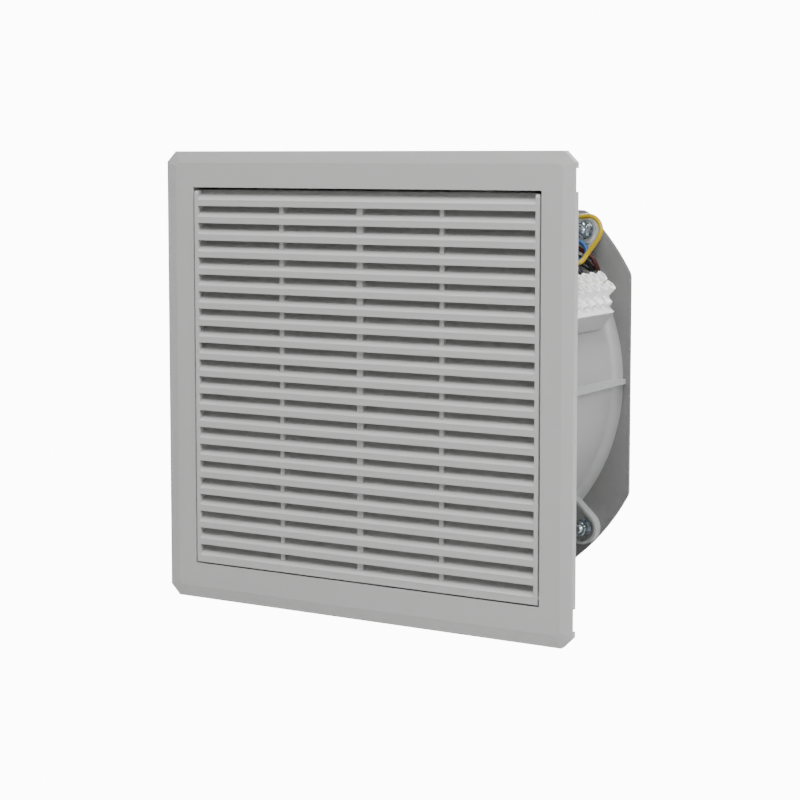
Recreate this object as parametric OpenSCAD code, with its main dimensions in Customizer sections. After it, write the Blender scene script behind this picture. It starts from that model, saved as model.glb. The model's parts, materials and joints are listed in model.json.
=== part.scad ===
// Enclosure filter fan: a louvred, filtered fan that fills a square hole in a cabinet wall.
// The origin is the centre of the flange's rear face, which seats on the wall.
// +Y runs into the enclosure along the fan's axis, +X to the right and +Z up. Millimetres.

/* [Flange and collar] */
// Side of the square flange
flange_w = 323; // [300:1:380]
// Overlap of the flange on the wall round its square hole
wall_lap = 16; // [13:0.5:20]
// Depth of the flange's rim behind its bevel
flange_rim = 5.4; // [4:0.2:8]
// Width of the bevel round the front
bevel_w = 8.4; // [4:0.2:12]
// Depth of the bevel
bevel_d = 1; // [0.6:0.1:2.4]
// Leg of the cut across each corner
corner_cut = 7.5; // [5.5:0.5:12]
// Border of the flange at its sides
side_border = 23.25; // [21:0.25:27]
// Border of the flange at its top and bottom
top_border = 25.65; // [21:0.05:29]
// Room between the collar and the hole
collar_clear = 0.75; // [0.4:0.05:1]
// Wall of the collar
collar_wall = 3; // [2.2:0.2:4]
// Wall behind the filter
back_wall = 3; // [2:0.2:4]
// Width of the back wall at the middle of its sides
throat_in = 19.75; // [18:0.25:30]
// Height of the ribs that centre the filter mat
centring_rib_h = 6; // [4:0.5:6.5]
// Width of the gasket behind the flange
gasket_w = 9; // [6:0.5:10]
// Depth of the gasket's groove
gasket_t = 2.4; // [1.5:0.1:3]

/* [Louvre cover] */
// Height from one slat to the next
slat_pitch = 12.22; // [10:0.02:16]
// Height of a slat's front face
slat_face = 4.4; // [3:0.1:6]
// Thickness of a slat
slat_t = 2; // [1.4:0.1:2.6]
// Slope of the slats in degrees
slat_angle = 46; // [38:1:50]
// Depth of the cover
cover_depth = 11.4; // [9:0.2:14]
// Width of the cover's cheeks
cheek_w = 2.9; // [2:0.1:5]
// Gap beside the cover
side_gap = 1.25; // [0.8:0.05:2]
// Gap above the cover
top_gap = 1.85; // [1.2:0.05:3]
// Gap below the cover
bottom_gap = 1.2; // [1:0.05:2]
// Width of the outer ribs behind the slats
side_rib_w = 3.2; // [2:0.1:5]
// Width of the middle rib
middle_rib_w = 4.7; // [3:0.1:7]
// Distance from the middle rib to an outer one
rib_pitch = 64; // [50:1:80]

/* [Filter] */
// Room between the cover and the mat
mat_gap = 1.5; // [1.2:0.1:4]
// Thickness of the filter mat
mat_t = 16; // [10:1:24]
// Thickness of the filter grid
grid_t = 6.5; // [5:0.5:10]
// Pitch of the grid's bars
grid_pitch = 26.9; // [20:0.1:30]
// Width of a grid bar
grid_bar = 2.4; // [1.6:0.2:4]

/* [Duct] */
// Length of the duct from the back wall to the wall plate
duct_len = 89.6; // [80:0.2:110]
// Room between the duct and the collar's outline
duct_in = 11.75; // [10:0.25:13]
// Wall of the duct
duct_wall = 3; // [2:0.2:3.4]
// Reach of the cove where the duct meets the wall plate
cove_r = 7; // [4:0.5:7.5]
// Room between the long ribs and the collar's outline
duct_rib_in = 2.75; // [2:0.25:5]
// Thickness of the long ribs
duct_rib_t = 3.4; // [2:0.2:5]

/* [Wall plate and fan bolts] */
// Room between the wall plate and the square hole
plate_in = 0.5; // [0.2:0.1:3]
// Width of the plate outside the middles of the fan bolts, where a circle cuts its corners
plate_edge = 10.3; // [9:0.1:14]
// Thickness of the wall plate
plate_t = 2.5; // [1.5:0.1:4]
// Distance of the fan bolts from the plate's sides
bolt_side_in = 33; // [32:0.5:35]
// Distance of the fan bolts from the plate's top and bottom
bolt_top_in = 39; // [37:0.5:41]
// Radius of the fan bolts
bolt_r = 3; // [2.5:0.5:3]

/* [Impeller and motor] */
// Room between the impeller's tips and the duct's outer face
tip_in = 8.5; // [8:0.5:15]
// Gap between the blade tips and the nozzle
tip_gap = 2.5; // [2:0.1:3]
// Number of blades
blade_count = 7; // [5:1:9]
// Thickness of a blade
blade_t = 2.4; // [1.8:0.1:3]
// Radius of the rotor can
rotor_r = 47; // [42:1:50]
// Length of the rotor can
rotor_len = 42; // [40:0.5:44]
// Length of the stator core
stator_len = 24; // [16:1:26]
// Radius of the motor shaft
shaft_r = 4; // [3:0.5:4.5]
// Outer radius of the bearings
bearing_r = 11; // [10:0.5:12]
// Width of a bearing
bearing_w = 7; // [5:0.5:8]

/* [Guard] */
// Height of the guard behind the wall plate
guard_rise = 26; // [25:0.5:32]
// Half the thickness of the guard's arms
arm_r = 2; // [1.6:0.1:3]
// Width of the guard's arms
arm_w = 4.4; // [3:0.2:8]
// Half the thickness of the guard's rings
ring_wire_r = 1.1; // [0.8:0.1:1.5]
// Radial pitch of the rings
ring_pitch = 11; // [9:0.5:14]

/* [Terminal block] */
// Pitch of the poles
pole_pitch = 13; // [11:0.5:13.2]
// Number of poles
pole_count = 5; // [3:1:5]
// Radius of a screw tower
tower_r = 4.1; // [3.5:0.1:4.2]
// Distance between a pole's two towers
tower_gap = 9; // [8.5:0.1:10]
// Height of the towers above the platform
tower_h = 14.4; // [12:0.2:16]
// Radius of a wire entry
entry_r = 2.1; // [1.8:0.1:2.3]

/* [Hidden] */

// Faces of round shapes and of hexagons
round_fn = 96;
hex_fn = 6;

// Overrun of every cut, and the bite by which welded or moulded pieces join
overrun = 1;
bite = 0.4;
// Clearance of a pivot in its bore, of soft pieces, and between bodies
pivot_clear = 0.05;
soft_clear = 0.55;
body_clear = 0.4;

// Colours
plastic_grey = [0.69, 0.70, 0.69];
plate_grey = [0.48, 0.49, 0.48];
steel = [0.72, 0.73, 0.75];
zinc = [0.78, 0.80, 0.82];

// Depths along Y
flange_front = -(flange_rim + bevel_d);
cover_rear = flange_front + cover_depth;
mat_y = cover_rear + mat_gap;
grid_y = mat_y + mat_t;
back_wall_y = grid_y + grid_t;
duct_y = back_wall_y + back_wall;
plate_y = duct_y + duct_len;
plate_rear = plate_y + plate_t;

// Collar
flange_h = flange_w;
opening_w = flange_w - 2 * side_border;
opening_h = flange_h - 2 * top_border;
cutout_w = flange_w - 2 * wall_lap;
collar_w = cutout_w - 2 * collar_clear;
collar_round = 5;
pocket_w = collar_w - 2 * collar_wall;
pocket_half = pocket_w / 2;
throat_r = pocket_half - throat_in;
film = 0.02;

// Notches in the rear edge of the flange's sides
notch_l = 15;
notch_d = 3.4;
notch_in = 4;
notch_from_end = 11.2;

// Centring ribs of the filter mat: the middle one and one each side
centring_rib_w = 2;
centring_rib_pitch = 80.7;
centring_rib_setback = 4;
centring_rib_y = mat_y + centring_rib_setback;

// Louvre cover
cover_w = opening_w - 2 * side_gap;
cover_z0 = -opening_h / 2 + bottom_gap;
cover_z1 = opening_h / 2 - top_gap;
cover_h = cover_z1 - cover_z0;
first_slat_drop = 11.35;
slat_lip = 1.4;
cheek_round = 3;
rib_setback = 2;
slat_count = floor((cover_h - first_slat_drop) / slat_pitch) + 1;
hinge_pin_r = 1.2;
hinge_in = 2.6;
hinge_up = 4;
hinge_reach = 3.4;
hinge_end_gap = 0.6;
hinge_y = flange_front + hinge_in;
hinge_z = cover_z0 + hinge_up;

// Filter mat and grid
mat_w = pocket_w - 2 * centring_rib_h - 2 * soft_clear;
grid_lap = 2;
grid_rim = 5;
grid_w = 2 * (throat_r + grid_lap);
grid_bars = floor((grid_w / 2 - grid_rim) / grid_pitch);

// Spring clips: two on top of the collar and two below it
clip_x = 85;
clip_w = 14;
clip_side_gap = 1;
clip_rise = 3;
clip_nose_y = 2.4;
clip_nose_l = 1.8;
clip_root_t = 1.6;
clip_t = 4.6;
clip_pin_r = 1;
clip_eye_r = 2;
clip_pin_bite = 2;
clip_pad_w = 3;
clip_pad_l = 6;
clip_pin_y = back_wall_y - clip_pad_l / 2;
clip_pin_z = pocket_half + clip_eye_r / 2;
clip_window_y = body_clear + overrun;
clip_window_w = clip_w + 2 * clip_side_gap;

// Screws between the back wall and the duct
duct_screw_r = 1.9;
duct_screw_head_r = 3.8;
duct_screw_head_t = 2.4;
duct_screw_len = 11;
duct_screw_gap = 1.7;
duct_screw_step = 29.5;
duct_screw_far = grid_w / 2 + duct_screw_head_r + duct_screw_gap;
duct_screw_near = duct_screw_far - duct_screw_step;
duct_boss_r = 4.5;
duct_boss_h = 10;
duct_flange_in = 6.75;
duct_flange_w = collar_w - 2 * duct_flange_in;
duct_flange_t = 3;
duct_r = collar_w / 2 - duct_in;
duct_rib_r = collar_w / 2 - duct_rib_in;
duct_bore_r = duct_r - duct_wall;
cove_steps = 8;

// Ears that carry the fan bolts
plate_half = cutout_w / 2 - plate_in;
bolt_x = plate_half - bolt_side_in;
bolt_z = plate_half - bolt_top_in;
bolt_circle_r = sqrt(bolt_x * bolt_x + bolt_z * bolt_z);
bolt_angle = atan2(bolt_z, bolt_x);
ear_r = 11.8;
ear_rim_t = 1.8;
ear_floor_t = 4;
ear_rim_h = 8;
bolt_hole_clear = 0.2;
ear_floor_y = plate_y - ear_floor_t;

// White plate under the upper right nut, let into the ear
nut_plate_r = 9.4;
nut_plate_t = 1;
nut_plate_room = 0.2;

// Fan bolts and what is on them
washer_t = 1.4;
washer_share = 2.2;
washer_r = washer_share * bolt_r;
lock_washer_t = 1.4;
lock_washer_share = 1.75;
lock_washer_r = lock_washer_share * bolt_r;
nut_height_share = 1.67;
nut_t = nut_height_share * bolt_r;
nut_corner_share = 1.92;
nut_r = nut_corner_share * bolt_r;
head_height_share = 1.33;
head_t = head_height_share * bolt_r;
thread_end = 2.3;
foot_t = 2;
foot_rear = plate_rear + foot_t;
washer_y = ear_floor_y - washer_t;
lock_washer_y = washer_y - lock_washer_t;
nut_y = lock_washer_y - nut_t;
bolt_end_y = nut_y - thread_end;

// Wall plate
plate_blend = 9;
plate_circle_drop = 2.4;
plate_r = bolt_circle_r + plate_edge;
plate_step_in = 9;
plate_step_x = bolt_x - plate_step_in;
plate_step_up = 14;
plate_step_z = bolt_z + plate_step_up;
impeller_r = duct_r - tip_in;
nozzle_r = impeller_r + tip_gap;
nozzle_t = 1.4;
nozzle_len = 22;
nozzle_lip = 1.2;
nozzle_lip_l = 3;

// Impeller
blade_front = 20.6;
blade_y = plate_y - blade_front;
blade_depth = 29;
hub_wall = 2.6;
hub_cap_t = 2.5;
hub_round = 4;
hub_r = rotor_r + hub_wall;
hub_len = 40;
blade_root = 1.2;
blade_stations = 6;
blade_steps = 6;
blade_camber = 5;
blade_edge_share = 0.02;
root_chord = 43;
tip_chord = 78;
root_pitch = 42;
tip_pitch = 22;
blade_sweep = 16;

// Guard
guard_y = plate_rear + guard_rise;
guard_knee_in = 9;
guard_knee_r = nozzle_r - guard_knee_in;
guard_foot_in = 10;
guard_foot_r = bolt_circle_r - guard_foot_in;
slope_run = guard_foot_r - guard_knee_r;
guard_foot_y = foot_rear + arm_r - bite;
foot_w = 14;
foot_round = 9;
foot_reach = 16;
motor_plate_r = 50;
motor_plate_t = 2.5;
arm_lap = 6;
arm_in_r = motor_plate_r - arm_lap;
motor_plate_y = guard_y - arm_r - motor_plate_t + bite;
ring_offset = arm_r + ring_wire_r - bite;
slope_drop = guard_y - guard_foot_y;
slope_len = sqrt(slope_run * slope_run + slope_drop * slope_drop);
ring_count = floor((guard_foot_r - motor_plate_r - ring_pitch) / ring_pitch);

// Motor
motor_flange_t = 12;
motor_flange_in = 4;
motor_flange_r = motor_plate_r - motor_flange_in;
motor_flange_y = motor_plate_y - motor_flange_t;
rotor_gap = 2;
rotor_wall = 3;
rotor_y = motor_flange_y - rotor_gap - rotor_len;
rotor_boss_r = 8;
rotor_boss_h = 2;
stator_in = 12.8;
stator_r = rotor_r - stator_in;
air_gap = 0.8;
rotor_ring_r = rotor_r - rotor_wall;
bearing_tube_wall = 2.5;
bearing_tube_r = bearing_r + bearing_tube_wall;
bearing_step = 2;
bearing_bore_r = shaft_r + pivot_clear;
bearing_inner = 2.6;
front_bearing_y = rotor_y + rotor_wall + rotor_boss_h + body_clear;
rear_bearing_y = motor_flange_y - 2 * body_clear;
stator_front = 33;
stator_y = motor_flange_y - stator_front;
winding_t = 5;
winding_inner_r = 18;
winding_in = 2.2;
winding_outer_r = stator_r - winding_in;
winding_round = 2;
shaft_tail = 2.4;
shaft_end_y = rear_bearing_y + bearing_w + shaft_tail;
shaft_clip_r = 5.6;
shaft_clip_t = 0.9;
shaft_room_r = 7;
motor_screw_r = 2;
motor_screw_in = 13;
motor_screw_circle = motor_plate_r - motor_screw_in;
motor_screw_head_r = 3.6;
motor_screw_head_t = 2.6;
motor_screw_depth = 6;

// Terminal platform on the duct. In its slanted frame x runs along the platform
// and z away from it; the frame is turned by platform_angle about Y.
platform_angle = 45;
platform_z = duct_r;
platform_in = 22;
platform_out = 63.6;
platform_foot_out = 65.6;
platform_foot_in = 55;
platform_foot_drop = 14;
platform_foot_z = platform_z - platform_foot_drop;
platform_heel_drop = 2.4;
platform_heel_z = platform_z - platform_heel_drop;
platform_end_gap = 16;
platform_rear = plate_y - platform_end_gap;
platform_lead = 3;
block_mid = 45;
block_len = pole_pitch * pole_count;
block_overhang = 2.4;
block_y = platform_rear + block_overhang - block_len;
platform_front = block_y - platform_lead;

// Terminal block
entry_wall = 1.25;
entry_outer_r = entry_r + entry_wall;
entry_lift = 0.05;
entry_z = platform_z + entry_outer_r + entry_lift;
entry_half = 13.3;
pole_w = 9;
pole_h = 6;
pole_half = tower_gap / 2 + tower_r;
web_half = 4;
web_h = 4;
base_h = 1.2;
base_inset = 0.4;
clamp_half = 7.5;
clamp_r = 2.9;
clamp_bore_r = 1.75;
clamp_screw_r = 1.25;
clamp_head_r = 2.3;
clamp_head_t = 2;
clamp_head_drop = 3;
tower_bore_r = 2.6;
block_screw_r = 1.5;
block_screw_head_r = 2.4;
block_screw_head_t = 1.6;
block_screw_len = 9;

// Motor cable and what holds it
cable_r = 4.2;
lead_r = 1.6;
grommet_in = 4.2;
grommet_out = bolt_circle_r - grommet_in;
grommet_aside = 20.6;
grommet_r = 7;
grommet_groove = 1;
grommet_lip = 1.4;
cable_offset = 6.8;
cable_mid_y = motor_flange_y + motor_flange_t / 2;
bush_r = 4.9;
bush_len = 8;
bush_out = 3;
bush_lip_r = 5.8;
tie_w = 3.6;
tie_wall = 1.1;
tie_half_w = 7.9;
tie_half_h = 5.9;
tie_shares = [2.5, 4.5];
tie_drop = 2.7;
tie_y = guard_y - tie_drop;
tie_side = 4.4;

// Where the upper right bolt, the wall plate and the platform lie on the routes as drawn below.
// A route follows them when they move.
route_bolt = [112, 106];
route_plate_y = 121.6;
route_platform_z = 133;
route_start_r = 50;
route_end_r = 150;
plate_shift = plate_y - route_plate_y;
bolt_shift = [bolt_x - route_bolt[0], plate_shift, bolt_z - route_bolt[1]];
block_shift = (platform_z - route_platform_z) / sqrt(2);
block_shifts = [block_shift, plate_shift, block_shift];
arm_shift = bolt_circle_r - norm(route_bolt);

// The cable, in the frame of the guard arm: only its stretch beyond the motor grows
function follow_arm(route) = [for (p = route)
    let (k = min(max((p[0] - route_start_r) / (route_end_r - route_start_r), 0), 1))
        [p[0] + k * arm_shift, p[1] + plate_shift, p[2]]];
// A lead, whose start follows the bolt and whose end follows its pole
function follow_block(route) = [for (i = [0 : len(route) - 1])
    let (k = i / (len(route) - 1)) route[i] + (1 - k) * bolt_shift + k * block_shifts];

// Route of the cable from the motor to the wall plate, in the frame of the guard arm
cable_route = [
    [38, 140, 6.8], [50, 140, 6.8], [58, 141.4, 6.8], [66, 144.2, 6.8], [74, 146.4, 6.8],
    [83, 147, 6.8], [100, 147, 6.8], [110, 147, 7.8], [116.5, 147.2, 9.2], [121, 148.2, 10.6],
    [125.5, 150, 12.2], [131, 150.7, 14], [136.5, 149.4, 15.8], [142, 145.8, 17.6],
    [146.5, 140.4, 19.2], [149.2, 133.8, 20.2], [150, 128, 20.6], [150, 120, 20.6], [150, 112, 20.6]
];
// Routes of the leads, each from the cable's end to its pole
earth_route = [
    [96.6, 111.9, 119.6], [97, 108, 120.2], [99.5, 104.8, 121.6], [103.5, 103, 121],
    [110, 102, 118], [116.3, 101.5, 115.7], [123.7, 99, 116.7], [129.6, 97, 115.1],
    [133.6, 95, 111.1], [135, 93.5, 106.3], [133.4, 92, 101.1], [130, 90.5, 95.8],
    [126.1, 89, 90.2], [123.6, 86, 85.1], [119.9, 80.5, 85.2], [114.4, 74.5, 86.4],
    [111.7, 68.3, 85.1], [113.1, 63.4, 80.6], [118.5, 62.6, 74.4], [122.3, 62.6, 70.6]
];
blue_route = [
    [93.4, 111.9, 119.6], [93.5, 108, 119.5], [94.9, 104.4, 118], [98, 101.5, 113.8],
    [103.5, 99.5, 107.5], [110.3, 99.5, 101.3], [115.5, 100, 98.9], [120, 99.5, 96.2],
    [122.4, 98, 92.2], [122.7, 94.5, 87.8], [120.6, 90.5, 85.9], [116, 88, 86.6],
    [112.4, 83.7, 86.1], [112, 78.4, 83.2], [114.6, 75.9, 78.5], [118.5, 75.6, 74.4],
    [122.3, 75.6, 70.6]
];
brown_route = [
    [96.6, 111.9, 116.4], [96.8, 108.6, 116], [98.3, 106.4, 113], [101, 105, 107.5],
    [105.5, 104, 101], [108.9, 102.6, 95.7], [114.2, 102.8, 93.5], [118.8, 103.8, 90.7],
    [122.6, 105.6, 87.4], [124.4, 108.5, 82.9], [124.2, 113.4, 77.8], [120.8, 117.4, 79.5],
    [115.8, 118, 82.2], [110.8, 115.6, 84.6], [107.5, 110.5, 85.7], [106.9, 104, 85.7],
    [107.2, 97.5, 85.1], [109.5, 91.8, 82.9], [113.8, 89, 79.1], [118.5, 88.6, 74.4],
    [122.3, 88.6, 70.6]
];
black_route = [
    [93.4, 111.9, 116.4], [93.5, 108.6, 116], [94.2, 106.2, 112.5], [96.2, 104, 106.5],
    [100, 103, 99.5], [107.5, 105.5, 90.7], [112.5, 106.5, 87.6], [116.7, 107.5, 84.7],
    [120.2, 108.8, 81.8], [121.3, 111.8, 78.3], [117.5, 114.9, 78.5], [112.7, 115.2, 81],
    [110, 111, 83.2], [110.3, 104.8, 82.6], [113.8, 101.8, 79.1], [118.5, 101.5, 74.4],
    [122.3, 101.5, 70.6]
];

// A solid drawn in X and Z, from Y = y to y + t
module slab(y, t) {
    translate([0, y + t, 0]) rotate([90, 0, 0]) linear_extrude(t) children();
}

// A solid drawn in Y and Z, from X = x to x + t
module beam(x, t) {
    translate([x, 0, 0]) rotate([90, 0, 90]) linear_extrude(t) children();
}

// A rod along Y
module rod(x, z, y, t, r, fn = round_fn) {
    translate([x, y + t, z]) rotate([90, 0, 0]) cylinder(h = t, r = r, $fn = fn);
}

// A profile of radius and depth, turned about the fan's axis
module lathe() {
    rotate([-90, 0, 0]) rotate_extrude($fn = round_fn) children();
}

// A solid drawn in X and Y, w thick in Z and centred there
module slab_side(w) {
    translate([0, 0, -w / 2]) linear_extrude(w) children();
}

// Frame of the guard arm at the upper right, with x along the arm
module beside_arm() {
    rotate([0, -bolt_angle, 0]) children();
}

// The slanted frame of the terminal platform
module on_platform() {
    rotate([0, platform_angle, 0]) children();
}

// One copy at each corner of a rectangle, given half its sides
module at_corners(x, z) {
    for (sx = [-1, 1], sz = [-1, 1]) translate([sx * x, 0, sz * z]) children();
}

function unit(v) = v / norm(v);
function heading(p, i) = unit(p[min(i + 1, len(p) - 1)] - p[max(i - 1, 0)]);

// A round cord along the points of its route, with a ring of `sides` corners at each
module cord(p, r, sides, side = [0.3, 0.2, 1]) {
    n = len(p);
    rings = [for (i = [0 : n - 1])
        let (t = heading(p, i), u = unit(cross(t, side)), v = cross(t, u))
        for (k = [0 : sides - 1])
            let (a = 360 * k / sides) p[i] + r * (cos(a) * u + sin(a) * v)];
    walls = [for (i = [0 : n - 2], k = [0 : sides - 1])
        let (a = i * sides + k, b = i * sides + (k + 1) % sides)
        each [[a, a + sides, b], [b, a + sides, b + sides]]];
    first_cap = [for (k = [1 : sides - 2]) [0, k, k + 1]];
    last = (n - 1) * sides;
    last_cap = [for (k = [1 : sides - 2]) [last, last + k + 1, last + k]];
    polyhedron(rings, concat(walls, first_cap, last_cap), convexity = 6);
}

// A rectangle with its corners cut across
module cut_rectangle(w, h, c) {
    x = w / 2;
    z = h / 2;
    polygon([[c - x, -z], [x - c, -z], [x, c - z], [x, z - c], [x - c, z], [c - x, z], [-x, z - c], [-x, c - z]]);
}

// A square with round corners, exact arcs
module round_square(w, r) {
    square([w, w - 2 * r], center = true);
    square([w - 2 * r, w], center = true);
    for (sx = [-1, 1], sy = [-1, 1])
        translate([sx * (w / 2 - r), sy * (w / 2 - r)]) circle(r = r, $fn = round_fn);
}

// Depth of the clip's pocket, on top of the collar; it is mirrored for the lower clips
module clip_window(x) {
    translate([x - clip_window_w / 2, clip_window_y, pocket_half - overrun])
        cube([clip_window_w, back_wall_y - clip_window_y, collar_wall + 2 * overrun]);
}

module clip_pads(x) {
    for (side = [-1, 1])
        translate([x + side * (clip_window_w + clip_pad_w) / 2 - clip_pad_w / 2,
                   back_wall_y - clip_pad_l, clip_pin_z - clip_eye_r])
            cube([clip_pad_w, clip_pad_l, pocket_half + bite - clip_pin_z + clip_eye_r]);
}

module clip_pin_rod(x, extra_r, extra_l) {
    l = clip_window_w + 2 * clip_pin_bite + 2 * extra_l;
    translate([x - l / 2, clip_pin_y, clip_pin_z]) rotate([0, 90, 0])
        cylinder(h = l, r = clip_pin_r + extra_r, $fn = round_fn);
}

module each_clip() {
    for (x = [-clip_x, clip_x], up = [0, 1]) mirror([0, 0, up]) translate([x, 0, 0]) children();
}

// Square flange, collar, pocket for the filter and back wall, in one moulding
module front_frame() {
    color(plastic_grey)
    difference() {
        union() {
            hull() {
                slab(-flange_rim, flange_rim) cut_rectangle(flange_w, flange_h, corner_cut);
                slab(flange_front, film) cut_rectangle(flange_w - 2 * bevel_w, flange_h - 2 * bevel_w,
                    corner_cut - bevel_w * (2 - sqrt(2)));
            }
            difference() {
                slab(-flange_rim / 2, duct_y + flange_rim / 2) round_square(collar_w, collar_round);
                slab(0, back_wall_y) square(pocket_w, center = true);
            }
            for (x = [-1, 0, 1], up = [0, 1]) mirror([0, 0, up]) {
                translate([x * centring_rib_pitch - centring_rib_w / 2, centring_rib_y,
                           pocket_half - centring_rib_h])
                    cube([centring_rib_w, back_wall_y - centring_rib_y + bite, centring_rib_h + bite]);
                rotate([0, 90, 0])
                    translate([x * centring_rib_pitch - centring_rib_w / 2, centring_rib_y,
                               pocket_half - centring_rib_h])
                    cube([centring_rib_w, back_wall_y - centring_rib_y + bite, centring_rib_h + bite]);
            }
            for (x = [-1, 0, 1]) rotate([0, -90, 0])
                translate([x * centring_rib_pitch - centring_rib_w / 2, centring_rib_y,
                           pocket_half - centring_rib_h])
                cube([centring_rib_w, back_wall_y - centring_rib_y + bite, centring_rib_h + bite]);
            each_clip() clip_pads(0);
        }
        translate([-opening_w / 2, flange_front - overrun, -opening_h / 2])
            cube([opening_w, overrun - flange_front, opening_h]);
        rod(0, 0, back_wall_y - overrun, back_wall + 2 * overrun, throat_r);
        // Gasket groove
        gasket_ring(gasket_t + overrun);
        // Notches in the rear edge of the sides
        at_corners(flange_w / 2, flange_h / 2 - notch_from_end - notch_l / 2)
            translate([-notch_in, -notch_d, -notch_l / 2]) cube([2 * notch_in, notch_d + overrun, notch_l]);
        // Bores of the cover's hinge pins
        for (side = [-1, 1])
            translate([side * (opening_w / 2 + (hinge_reach - side_gap + hinge_end_gap) / 2), hinge_y, hinge_z])
                rotate([0, 90, 0]) cylinder(h = hinge_reach - side_gap + hinge_end_gap + film,
                    r = hinge_pin_r + pivot_clear, center = true, $fn = round_fn);
        duct_screw_places() rod(0, 0, back_wall_y - overrun, back_wall + 2 * overrun, duct_screw_r + bolt_hole_clear);
        each_clip() {
            clip_window(0);
            clip_pin_rod(0, 0, film);
        }
    }
}

module gasket_ring(t) {
    outer = collar_w + (flange_w - collar_w + gasket_w) / 2;
    slab(-gasket_t, t) difference() {
        square(outer, center = true);
        square(outer - 2 * gasket_w, center = true);
    }
}

module panel_gasket() {
    color("dimgray") gasket_ring(gasket_t);
}

module duct_screw_places() {
    at_corners(duct_screw_far, duct_screw_near) children();
    at_corners(duct_screw_near, duct_screw_far) children();
}

// Height of a slat's upper face at depth y behind the cover's front
function slat_bottom(i) = cover_z1 - first_slat_drop - i * slat_pitch;
function slat_over(i, y) = slat_bottom(i) + slat_face + y * tan(slat_angle);
function slat_under(i, y) = slat_over(i, y) - slat_t / cos(slat_angle);

module slat(i) {
    z = i == slat_count - 1 ? cover_z0 : slat_bottom(i);
    polygon([
        [0, z], [slat_lip, z], [slat_lip, slat_under(i, slat_lip)],
        [cover_depth, slat_under(i, cover_depth)], [cover_depth, slat_over(i, cover_depth)],
        [0, slat_over(i, 0)]
    ]);
}

module upright_rib(x, w) {
    top_y = (cover_z1 - slat_over(0, 0)) / tan(slat_angle);
    beam(x - w / 2, w) polygon([
        [rib_setback, cover_z0], [cover_depth, cover_z0], [cover_depth, cover_z1],
        [top_y, cover_z1], [rib_setback, slat_over(0, rib_setback)]
    ]);
}

module cheek() {
    translate([0, cover_z0]) square([cover_depth, cover_h - cheek_round]);
    translate([cheek_round, cover_z0]) square([cover_depth - cheek_round, cover_h]);
    translate([cheek_round, cover_z1 - cheek_round]) circle(r = cheek_round, $fn = round_fn);
}

// Cover of sloping slats between two cheeks, with pins at its lower corners
module louvre_cover() {
    color(plastic_grey) {
        translate([0, flange_front, 0]) {
            intersection() {
                beam(-(cover_w - cheek_w) / 2, cover_w - cheek_w)
                    for (i = [0 : slat_count - 1]) slat(i);
                translate([-cover_w / 2, 0, cover_z0]) cube([cover_w, cover_depth, cover_h]);
            }
            for (side = [-1, 1]) {
                beam(side * (cover_w - cheek_w) / 2 - cheek_w / 2, cheek_w) cheek();
                upright_rib(side * rib_pitch, side_rib_w);
            }
            upright_rib(0, middle_rib_w);
        }
        for (side = [-1, 1])
            translate([side * (cover_w + hinge_reach - bite) / 2, hinge_y, hinge_z]) rotate([0, 90, 0])
                cylinder(h = hinge_reach + bite, r = hinge_pin_r, center = true, $fn = round_fn);
    }
}

// Fibre mat between the cover and the grid
module filter_mat() {
    color("white") slab(mat_y, mat_t) square(mat_w, center = true);
}

// Flat lattice that carries the mat over the throat
module filter_grid() {
    inner = grid_w - 2 * grid_rim;
    color(plastic_grey) slab(grid_y, grid_t) {
        difference() {
            square(grid_w, center = true);
            square(inner, center = true);
        }
        for (i = [-grid_bars : grid_bars]) {
            translate([i * grid_pitch, 0]) square([grid_bar, inner + 2 * bite], center = true);
            translate([0, i * grid_pitch]) square([inner + 2 * bite, grid_bar], center = true);
        }
    }
}

// Sprung catch that grips the wall's inner face, with its eye round a pin
module spring_clip(x, up) {
    nose_z = collar_w / 2 + clip_rise;
    color("gainsboro") mirror([0, 0, up]) difference() {
        union() {
            beam(x - clip_w / 2, clip_w) polygon([
                [clip_nose_y, nose_z - clip_t], [clip_nose_y, nose_z], [clip_nose_y + clip_nose_l, nose_z],
                [clip_pin_y, clip_pin_z + clip_eye_r], [clip_pin_y, clip_pin_z + clip_eye_r - clip_root_t],
                [clip_nose_y + clip_nose_l + clip_root_t, nose_z - clip_t]
            ]);
            translate([x - clip_w / 2, clip_pin_y, clip_pin_z]) rotate([0, 90, 0])
                cylinder(h = clip_w, r = clip_eye_r, $fn = round_fn);
        }
        clip_pin_rod(x, pivot_clear, 0);
    }
}

module spring_clip_1() { spring_clip(-clip_x, 0); }
module spring_clip_2() { spring_clip(clip_x, 0); }
module spring_clip_3() { spring_clip(-clip_x, 1); }
module spring_clip_4() { spring_clip(clip_x, 1); }

module clip_pins() {
    color(steel) each_clip() clip_pin_rod(0, 0, 0);
}

// Angle i of the cove, from the duct's side to the wall plate
function cove_point(i) =
    let (a = 90 * i / cove_steps) [duct_r + cove_r * (1 - cos(a)), plate_y - cove_r * (1 - sin(a))];

module ear_outline(r, reach) {
    translate([bolt_circle_r, 0]) circle(r = r, $fn = round_fn);
    translate([bolt_circle_r - reach, -r]) square([reach, 2 * r]);
}

// Ear at the right, before it is turned to its bolt: a floor with a raised rim
module ear() {
    reach = bolt_circle_r - duct_bore_r - duct_wall / 2;
    slab(ear_floor_y, ear_floor_t) ear_outline(ear_r, reach);
    slab(plate_y - ear_rim_h, ear_rim_h) difference() {
        ear_outline(ear_r, reach);
        ear_outline(ear_r - ear_rim_t, reach + overrun);
    }
}

module nut_plate_disc(room) {
    rod(bolt_x, bolt_z, ear_floor_y - room * overrun, nut_plate_t + room * overrun, nut_plate_r + room * nut_plate_room);
}

// Insulating plate that the leads rest against
module nut_plate() {
    color("white") difference() {
        nut_plate_disc(0);
        rod(bolt_x, bolt_z, ear_floor_y - overrun, nut_plate_t + 2 * overrun, bolt_r + bolt_hole_clear);
    }
}

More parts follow.
